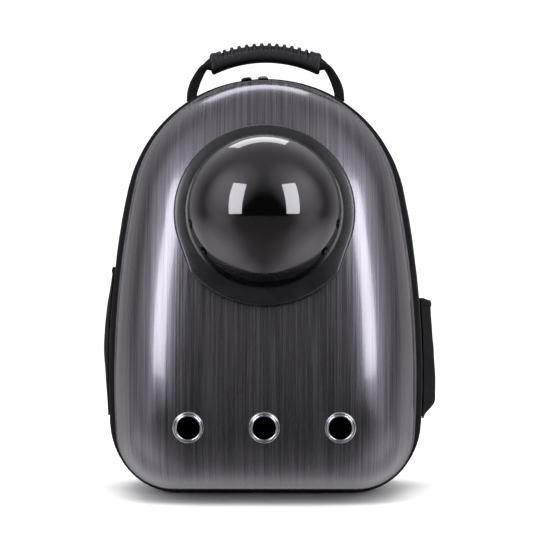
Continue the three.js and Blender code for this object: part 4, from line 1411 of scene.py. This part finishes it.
@dataclass
class SidePockets:
    """A flat pocket on the left and a boxy one on the right, gathered on elastic."""

    bag: SoftBag
    front: float = 20.0
    back: float = 98.0
    wall: float = 2.0
    shapes: tuple[PocketShape, PocketShape] = (
        PocketShape("side_pocket_left", -1, 78.0, 228.0, 4.8, 2.0, 0.55, 0.3),
        PocketShape("side_pocket_right", 1, 75.0, 196.0, 13.0, 4.0, 0.15, 0.8))
    columns: int = 44
    rows: int = 40
    gathers: int = 11
    gather_depth: float = 0.45
    hem_radius: float = 1.6

    def stand_off(self, shape: PocketShape, across: float, up: float) -> float:
        """Returns the share of a pocket's stand-off at a place on it."""
        edge = eased(min(across, 1 - across) / 0.07)
        belly = 0.9 + 0.16 * math.sin(across * math.pi)
        foot = eased(up / shape.filled_at) * 0.9 + 0.1
        above = eased((up - shape.filled_at) / (1 - shape.filled_at))
        return edge * belly * foot * mixed(1.0, shape.top_share, above)

    def place(self, shape: PocketShape, across: float, up: float, inset: float) -> Vector:
        """Returns a place on a pocket's outside, or an inset inside it."""
        share = self.stand_off(shape, across, up)
        height = mixed(shape.foot, shape.top - shape.hem_drop * share * eased((up - 0.6) / 0.4), up)
        y = self.bag.front + mixed(self.front, self.back, across)
        lie = noise.noise(Vector((y, height, shape.hand * 40)) / 17) * 0.7 * share
        wave = math.sin(across * 2 * math.pi * self.gathers)
        gather = self.gather_depth * wave * eased((up - 0.86) / 0.14) * share
        out = self.bag.rim.flank_x(height, self.bag.bulge) + shape.stand_off * share + lie + gather - inset
        return Vector((shape.hand * out, y, height))

    def pocket(self, shape: PocketShape) -> bpy.types.Object:
        """Lays the pocket's sheet, and gives it its thickness inwards."""
        rings = [[self.place(shape, c / self.columns, r / self.rows, 0.0) for c in range(self.columns + 1)]
                 for r in range(self.rows + 1)]
        sheet = lofted(f"{shape.name}_cloth", rings, wrap=False)
        with edited(sheet):
            bpy.ops.mesh.normals_make_consistent(inside=False)
        facing = sum((face.normal.x * shape.hand for face in sheet.data.polygons), 0.0)
        if facing < 0:
            with edited(sheet):
                bpy.ops.mesh.flip_normals()
        applied(sheet, "SOLIDIFY", thickness=(self.wall - 0.6) * MM, offset=-1.0, use_even_offset=True)
        return smoothed(sheet, 60)

    def hem(self, shape: PocketShape) -> bpy.types.Object:
        """Rolls a tape over the gathered top edge."""
        path = [self.place(shape, c / self.columns, 1.0, self.wall / 2 - 0.3)
                for c in range(self.columns + 1)]
        radius = self.hem_radius

        def section(share: float) -> list[tuple[float, float]]:
            """Gives a rounded tape section, pressed thin at the gathers."""
            press = 1 + 0.12 * math.sin(share * 2 * math.pi * self.gathers)
            return [(2.4 * radius * math.cos(a) * press, radius * math.sin(a)) for a in
                    (i / 10 * 2 * math.pi for i in range(10))]

        return smoothed(band(f"{shape.name}_hem", path, section, lambda share: Vector((0, 0, 1))), 70)

    def build(self) -> None:
        """Models and dresses both pockets."""
        for shape in self.shapes:
            handed_over(self.pocket(shape), LOOKS.cloth, [shape.name])
            handed_over(self.hem(shape), LOOKS.tape)


@dataclass
class BackPad:
    """Foam panel under air mesh on the wearer's side, with two sewn channels."""

    bag: SoftBag
    margin: float = 46.0
    thickness: float = 13.0
    voxel: float = 5.0
    pressure: float = 4.0
    swell: float = 5.0
    frames: int = 20
    binding_radius: float = 1.6
    channel_x: float = 32.0
    channel_height: float = 130.0
    channel_width: float = 4.0
    channel_dip: float = 0.45
    cross_share: float = 0.8

    def blank(self) -> bpy.types.Object:
        """Lofts the pad a little small, ready to swell."""
        back, thick = self.bag.back + CLEAR, self.thickness
        layers = ((0.0, 6.0), (0.3, 3.0), (0.62, 5.0), (0.8, 14.0))
        return lofted("pad_foam", [
            self.bag.rim.ring(back + thick * out, -self.margin - inset) for out, inset in layers])

    def swollen(self, pad: bpy.types.Object) -> bpy.types.Object:
        """Blows the pad up as sewn cloth over foam, holding it off the bag's back."""
        applied(pad, "REMESH", mode="VOXEL", voxel_size=self.voxel * MM)
        rest = [vertex.co.copy() for vertex in pad.data.vertices]
        pick(pad)
        cloth = pad.modifiers.new("Cloth", "CLOTH")
        cloth.settings.use_pressure = True
        cloth.settings.uniform_pressure_force = self.pressure
        cloth.settings.effector_weights.gravity = 0.0
        for frame in range(1, self.frames + 1):
            bpy.context.scene.frame_set(frame)
        bpy.ops.object.modifier_apply(modifier=cloth.name)
        bpy.context.scene.frame_set(1)
        low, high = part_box("back_pad")
        for vertex, start in zip(pad.data.vertices, rest):
            move = vertex.co - start
            vertex.co = start + move * min(1.0, self.swell * MM / max(1e-9, move.length))
            vertex.co.y = min(max(vertex.co.y, low.y), high.y)
        return smoothed(pad, 80)

    def channelled(self, pad: bpy.types.Object) -> bpy.types.Object:
        """Subdivides the pad once and presses in its sewn channels."""
        applied(pad, "SUBSURF", levels=1, render_levels=1)
        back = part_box("back_pad")[0].y
        width = self.channel_width * MM
        for vertex in pad.data.vertices:
            place = vertex.co
            beside = abs(place.x) - self.channel_x * MM
            above = place.z - self.channel_height * MM - place.x ** 2
            dip = max(math.exp(-(beside / width) ** 2), math.exp(-(above / width) ** 2) * self.cross_share)
            place.y = back + (place.y - back) * (1 - self.channel_dip * dip)
        return smoothed(pad, 80)

    def build(self) -> None:
        pad = self.channelled(self.swollen(self.blank()))
        handed_over(pad, LOOKS.mesh, ["back_pad"])
        binding = smoothed(lofted("pad_binding", [
            self.bag.rim.ring(self.bag.back + 2.4 + aft, -self.margin - 1.8 + out)
            for out, aft in bound(self.binding_radius, 1.0)], fill=False), 70)
        handed_over(binding, LOOKS.tape)


# Handle

@dataclass
class Handle:
    """Curved rubber grip with ribs and end blocks, on webbing sewn to the top of the bag."""

    bag: SoftBag
    back: float = 38.0
    top: float = 464.8
    thickness: float = 21.0
    width: float = 25.0
    half_length: float = 60.3
    radius: float = 133.0
    ribs: int = 12
    rib_spacing: float = 7.45
    rib_share: float = 0.34
    groove: float = 2.8
    ledge: float = 1.1
    web_width: float = 25.0
    web_thickness: float = 3.2
    twist: float = 17.0
    anchor: float = 77.0
    cut_back: float = 0.32        # how far the end faces lean, as a share of the height
    sunk: float = 2.0             # how far the webbing goes into the grip

    @property
    def centre_height(self) -> float:
        """Height of the centre of the grip's arc."""
        return self.top - self.thickness / 2 - self.radius

    @property
    def end_angle(self) -> float:
        """Half of the arc that the grip takes up."""
        return math.asin(self.half_length / self.radius)

    def rib(self, along: float) -> float:
        """Returns 1 on a rib and on the end blocks, and 0 in a groove, at an arc length."""
        reach = self.ribs * self.rib_spacing / 2
        if abs(along) > reach:
            return 1.0
        phase = ((along + reach) / self.rib_spacing) % 1.0
        return 1.0 - eased((abs(phase - 0.5) - self.rib_share / 2) / 0.12)

    def section(self, along: float, shrink: float) -> list[tuple[float, float]]:
        """Returns the grip's section at an arc length, as pairs of across and up.

        Args:
            along: arc length from the middle of the grip.
            shrink: share of the full size, for the rounded ends.
        """
        w, t = self.width / 2, self.thickness / 2
        rib = self.rib(along)
        points: list[tuple[float, float]] = []
        count = 64
        for i in range(count):
            angle = i / count * 2 * math.pi
            c, s = math.cos(angle), math.sin(angle)
            power = 2 / 3.4
            across = math.copysign(abs(c) ** power, c) * w
            up = math.copysign(abs(s) ** power, s) * t
            high = eased((up / t - 0.02) / 0.5)
            sunk = self.groove * (1 - rib) * high + self.ledge * eased((up / t - 0.06) / 0.12)
            end = eased((abs(along) - self.half_length * 0.80) / (self.half_length * 0.10))
            sunk = max(0.0, sunk - end * self.ledge)
            length = math.hypot(across, up)
            scale = (length - sunk) / length if length else 1.0
            points.append((across * scale * shrink, up * scale * shrink))
        return points

    def grip(self) -> bpy.types.Object:
        """Lofts the grip along its arc."""
        length = self.end_angle * self.radius
        stations = [(-length, 0.74), (-length + 0.5, 0.86), (-length + 1.4, 0.94), (-length + 3.0, 1.0)]
        steps = 300
        inner = length - 3.6
        stations += [(mixed(-inner, inner, i / steps), 1.0) for i in range(steps + 1)]
        stations += [(-along, shrink) for along, shrink in reversed(stations[:4])]
        rings = []
        for along, shrink in stations:
            lean = self.cut_back * eased((abs(along) / length - 0.8) / 0.2) * (-1 if along < 0 else 1)
            ring: Ring = []
            for across, up in self.section(along, shrink):
                angle = (along - lean * (up + self.thickness / 2)) / self.radius
                ring.append(Vector((math.sin(angle) * (self.radius + up), self.back + across,
                                    self.centre_height + math.cos(angle) * (self.radius + up))))
            rings.append(ring)
        return smoothed(lofted("grip_rubber", rings), 42)

    def web_path(self, hand: int) -> list[Vector]:
        """Returns the way of one webbing from the grip's end down to the bag."""
        out = self.end_angle - (self.cut_back * self.thickness / 2 + self.sunk) / self.radius
        start = Vector((math.sin(out) * self.radius, self.back,
                        self.centre_height + math.cos(out) * self.radius))
        top = self.bag.rim.crown_height(self.anchor, self.bag.crown_bulge)
        foot = Vector((self.anchor, self.back, top - 1.5))
        drop, run = start.z - foot.z, foot.x - start.x
        points = [start, start + Vector((0.36 * run, 0, -0.15 * run)),
                  Vector((foot.x - 6, self.back, foot.z + drop * 0.62)),
                  Vector((foot.x - 1.2, self.back, foot.z + drop * 0.3)), foot]
        return curve_through([Vector((p.x * hand, p.y, p.z)) for p in points], 30)

    def web(self, side: str, hand: int) -> bpy.types.Object:
        """Lays one webbing, with rounded edges, turned a little about its own run."""
        turn = math.radians(self.twist) * hand
        return smoothed(band(
            f"handle_webbing_{side}", self.web_path(hand),
            lambda share: flat_section(self.web_width, self.web_thickness),
            lambda share: Matrix.Rotation(turn * min(1.0, 0.4 + share), 3, "Z") @ Vector((0, 1, 0))), 50)

    def collar(self, side: str, hand: int) -> bpy.types.Object:
        """Models the stitched fold where the webbing enters the grip."""
        path = self.web_path(hand)[:8]
        return smoothed(band(
            f"handle_fold_{side}", path,
            lambda share: flat_section(self.web_width - 1.5, mixed(12.5, 4.6, eased(share * 1.1))),
            lambda share: Vector((0, 1, 0))), 50)

    def build(self) -> None:
        """Models and dresses the grip and its webbing."""
        handed_over(self.grip(), LOOKS.rubber, ["handle_grip"])
        for side, hand in (("left", -1), ("right", 1)):
            handed_over(self.web(side, hand), LOOKS.webbing, [f"handle_web_{side}"])
            handed_over(self.collar(side, hand), LOOKS.webbing)


def flat_section(width: float, thickness: float, crown: float = 0.0) -> list[tuple[float, float]]:
    """Returns a flat section with rounded edges, as pairs of across and thick.

    Args:
        width: across the band.
        thickness: through the band at its edges.
        crown: how much thicker each side is in the middle.
    """
    w, t = width / 2, thickness / 2
    flat = [mixed(-(w - t), w - t, i / 10) for i in range(11)]
    upper = [(x, t + crown * (1 - (x / w) ** 2)) for x in flat]
    right = [(w - t + t * math.cos(a), t * math.sin(a))
             for a in (math.radians(d) for d in (60, 30, 0, -30, -60))]
    lower = [(x, -y) for x, y in reversed(upper)]
    left = [(-x, -y) for x, y in right]
    return [*upper, *right, *lower, *left]


# Shoulder straps

@dataclass
class ShoulderStraps:
    """Padded straps with webbing tails and ladder-lock buckles on the wearer's side."""

    bag: SoftBag
    width: float = 62.0
    narrows_at: float = 0.9
    narrowing: float = 4.5
    thickness: float = 10.0
    root: float = 42.0
    root_height: float = 391.0
    stand_off: float = 42.0
    foot_side: float = 100.0
    foot_height: float = 158.0
    tail_width: float = 25.0
    tail_thickness: float = 2.5
    anchor: float = 124.0
    anchor_height: float = 44.0
    buckle: tuple[float, float, float] = (36.0, 26.0, 7.0)
    bar: float = 6.4
    line: tuple[tuple[float, float, float], ...] = (
        (0.0, 0.0, 0.0), (-0.008, 0.0, 0.3), (0.06, 0.05, 0.72), (0.28, 0.3, 0.98),
        (0.55, 0.62, 1.0), (0.8, 0.86, 0.92), (1.0, 1.0, 0.78))

    def path(self, hand: int) -> list[Vector]:
        """Returns the middle line of a strap from its root to its buckle."""
        return curve_through([
            Vector((hand * mixed(self.root, self.foot_side, side), self.bag.back + self.stand_off * off,
                    mixed(self.root_height, self.foot_height, down))) for down, side, off in self.line], 72)

    def end_frame(self, hand: int) -> Matrix:
        """Returns the frame at the strap's end: X across, Y along the way on, Z off the back."""
        path = self.path(hand)
        on = (path[-1] - path[-2]).normalized()
        wide = Vector((1, 0, 0))
        wide = (wide - on * wide.dot(on)).normalized()
        return framed(wide, on, wide.cross(on), path[-1])

    def width_at(self, share: float) -> float:
        """Returns the strap's width at a share of the way along."""
        return self.width * (1 - self.narrowing * max(0.0, share - self.narrows_at))

    def pad(self, side: str, hand: int) -> bpy.types.Object:
        """Lays the padded strap: crowned between its edges, and narrower at its end."""

        def section(share: float) -> list[tuple[float, float]]:
            """Gives the crowned section, with the strap's taper and a soft waviness."""
            full = 0.6 + 0.4 * eased(share / 0.08)
            wave = 0.35 * noise.noise(Vector((share * 9, hand, 0)))
            crown = (self.thickness * 0.24 + wave) * full
            return flat_section(self.width_at(share) - 1.0, self.thickness * 0.5, crown)

        strap = band(f"strap_padding_{side}", self.trimmed(self.path(hand), 4.0), section,
                     lambda share: Vector((1, 0, 0)))
        return smoothed(strap, 60)

    def trimmed(self, path: list[Vector], clear: float) -> list[Vector]:
        """Leaves out the start of a path that would lie in the bag's back."""
        return [place for place in path if place.y > self.bag.back + clear]

    def edging(self, side: str, hand: int) -> bpy.types.Object:
        """Binds both edges of a strap in tape."""
        path = self.trimmed(self.path(hand), 4.0)
        pieces = []
        for way in (-1, 1):
            edge = [place + Vector((way * (self.width_at(i / (len(path) - 1)) / 2 - 2.2), 0, 0))
                    for i, place in enumerate(path)]
            pieces.append(band(
                f"edge_{side}_{way}", edge,
                lambda share: flat_section(4.4, self.thickness * 0.5 + 1.2),
                lambda share: Vector((1, 0, 0))))
        return smoothed(joined(f"strap_edging_{side}", pieces), 60)

    def ladder_lock(self, side: str, hand: int) -> bpy.types.Object:
        """Models the buckle: a rounded block with two slots."""
        wide, long, thick = self.buckle
        body = block(f"ladder_lock_{side}", (wide, long, thick), 1.6, 3)
        gap = (long - 3 * self.bar) / 2
        for start in (self.bar, 2 * self.bar + gap):
            hole = block("slot", (wide - 2 * self.bar, gap, thick * 2), 0.5, 1)
            settled(hole, Matrix.Translation((0, start + gap / 2 - long / 2, 0)))
            cut(body, hole)
        settled(body, Matrix.Translation((0, CLEAR + long / 2, 0)))
        return smoothed(settled(body, placed_frame(self.end_frame(hand))))

    def tail(self, side: str, hand: int) -> bpy.types.Object:
        """Lays the webbing from the buckle down to the foot of the bag."""
        frame = self.end_frame(hand)
        start, lead = (frame @ Vector((0, self.buckle[1] + 3 * CLEAR + on, 0))
                       for on in (0.0, self.buckle[2]))
        end = Vector((hand * self.anchor, self.bag.back, self.anchor_height))
        points = [start, lead, start.lerp(end, 0.5) + Vector((0, self.stand_off * 0.12, 0)),
                  start.lerp(end, 0.85) + Vector((0, self.stand_off * 0.04, 0)), end]
        path = self.trimmed(curve_through(points, 40), -6.0)
        return smoothed(band(f"strap_webbing_{side}", path,
                             lambda share: flat_section(self.tail_width, self.tail_thickness),
                             lambda share: Vector((1, 0, 0))), 50)

    def build(self) -> None:
        """Models and dresses both straps."""
        for side, hand in (("left", -1), ("right", 1)):
            pad = self.pad(side, hand)
            handed_over(pad, LOOKS.mesh, [f"shoulder_strap_{side}"])
            handed_over(self.edging(side, hand), LOOKS.tape)
            handed_over(self.ladder_lock(side, hand), LOOKS.buckle, [f"strap_buckle_{side}"])
            handed_over(self.tail(side, hand), LOOKS.webbing, [f"strap_web_{side}"])


# Studio

@dataclass(frozen=True)
class Softbox:
    """One softbox round the bubble: its place, size in metres and brightness, and whether gloss sees it."""

    name: str
    azimuth: float
    elevation: float
    distance: float
    size: tuple[float, float]
    radiance: float
    glossy: bool = True


@dataclass
class Studio:
    """Plain pale floor, white surroundings, softboxes, and the camera."""

    aim: tuple[float, float, float] = (0.0, -0.15, 0.28)
    boxes: tuple[Softbox, ...] = (
        Softbox("softbox_left", -40.0, 18.5, 1.6, (0.56, 1.15), 6.5),
        Softbox("softbox_right", 40.0, 18.5, 1.6, (0.56, 1.15), 6.5),
        Softbox("softbox_behind", 186.0, 53.0, 1.7, (1.05, 0.55), 2.4),
        Softbox("softbox_overhead", 0.0, 76.0, 2.4, (2.6, 1.8), 5.0, False))
    lamp_colour: tuple[float, float, float] = (0.93, 0.92, 1.0)
    surround: float = 1.25
    screen: GradedScreen = GradedScreen()
    screen_radius: float = 3.6
    floor_size: float = 24.0
    camera_azimuth: float = 0.5
    camera_shift: float = 0.0023
    camera_height: float = 0.232
    camera_distance: float = 2.0
    lens: float = 132.45

    def place(self, azimuth: float, elevation: float, distance: float) -> Vector:
        """Returns a place round the bubble; azimuth 0 is in front, 90 is to the right."""
        a, e = math.radians(azimuth), math.radians(elevation)
        way = Vector((math.sin(a) * math.cos(e), -math.cos(a) * math.cos(e), math.sin(e)))
        return Vector(self.aim) + way * distance

    def lamp(self, box: Softbox) -> None:
        """Sets up one softbox, facing the bubble."""
        light = bpy.data.lights.new(box.name, "AREA")
        light.shape = "RECTANGLE"
        light.size, light.size_y = box.size
        light.color = self.lamp_colour if box.glossy else (1.0, 1.0, 1.0)
        light.energy = box.radiance * math.pi * box.size[0] * box.size[1]
        holder = bpy.data.objects.new(box.name, light)
        bpy.context.scene.collection.objects.link(holder)
        holder.location = self.place(box.azimuth, box.elevation, box.distance)
        holder.rotation_euler = (Vector(self.aim) - holder.location).to_track_quat("-Z", "Y").to_euler()
        holder.visible_glossy = holder.visible_transmission = box.glossy
        holder.visible_diffuse = not box.glossy

    def floor(self) -> None:
        """Lays the floor."""
        pick(None)
        bpy.ops.mesh.primitive_plane_add(size=self.floor_size)
        floor = bpy.context.object
        floor.name = floor.data.name = "studio_floor"
        floor.data.materials.append(material_of(LOOKS.floor))
        floor.visible_glossy = False

    def graded_room(self) -> None:
        """Closes a graded screen round the studio, which only reflections see."""
        pick(None)
        bpy.ops.mesh.primitive_uv_sphere_add(segments=48, ring_count=24, radius=self.screen_radius)
        screen = bpy.context.object
        screen.name = screen.data.name = "studio_graded_screen"
        settled(screen, Matrix.Translation(self.aim))
        screen.data.materials.append(self.screen.material(self.aim))
        screen.visible_camera = screen.visible_diffuse = screen.visible_shadow = False

    def surroundings(self) -> None:
        """Makes the surroundings an even white."""
        world = bpy.data.worlds.new("white_studio")
        world.use_nodes = True
        ground = world.node_tree.nodes["Background"]
        ground.inputs["Color"].default_value = (1, 1, 1, 1)
        ground.inputs["Strength"].default_value = self.surround
        bpy.context.scene.world = world

    def camera(self) -> None:
        """Sets the camera where the photograph was taken from."""
        camera = bpy.data.cameras.new("camera")
        camera.lens, camera.sensor_width, camera.sensor_fit = self.lens, 36.0, "HORIZONTAL"
        camera.clip_start, camera.clip_end = 0.05, 100.0
        camera.shift_x = self.camera_shift
        holder = bpy.data.objects.new("camera", camera)
        bpy.context.scene.collection.objects.link(holder)
        turn = math.radians(self.camera_azimuth)
        aim = Vector((0, -BASE_MIDDLE * MM, self.camera_height))
        holder.location = aim + Vector((math.sin(turn), -math.cos(turn), 0)) * self.camera_distance
        holder.rotation_euler = (aim - holder.location).to_track_quat("-Z", "Y").to_euler()
        bpy.context.scene.camera = holder

    def build(self) -> None:
        """Sets up the whole studio."""
        self.camera()
        self.floor()
        self.graded_room()
        self.surroundings()
        for box in self.boxes:
            self.lamp(box)
        bpy.context.scene.view_settings.view_transform = "Standard"
        bpy.context.scene.view_settings.look = "None"


def main() -> None:
    """Builds the studio and every sub-assembly, and logs the CAD nodes still showing plain."""
    logging.basicConfig(level=logging.INFO, format="%(name)s %(message)s")
    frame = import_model()
    pick(None)
    rim = Rim()
    Studio().build()
    shell, bag = HardShell(rim), SoftBag(rim)
    for assembly in (
        shell,
        Bubble(shell),
        Eyelets(shell),
        Zipper(rim),
        bag,
        SidePockets(bag),
        BackPad(bag),
        Handle(bag),
        ShoulderStraps(bag),
    ):
        assembly.build()
        log.info("built %s", type(assembly).__name__)
    plain = [name for name, node in frame["nodes"].items() if not node.hide_render]
    log.info("CAD nodes still showing: %s", plain)


if __name__ == "__main__":
    main()
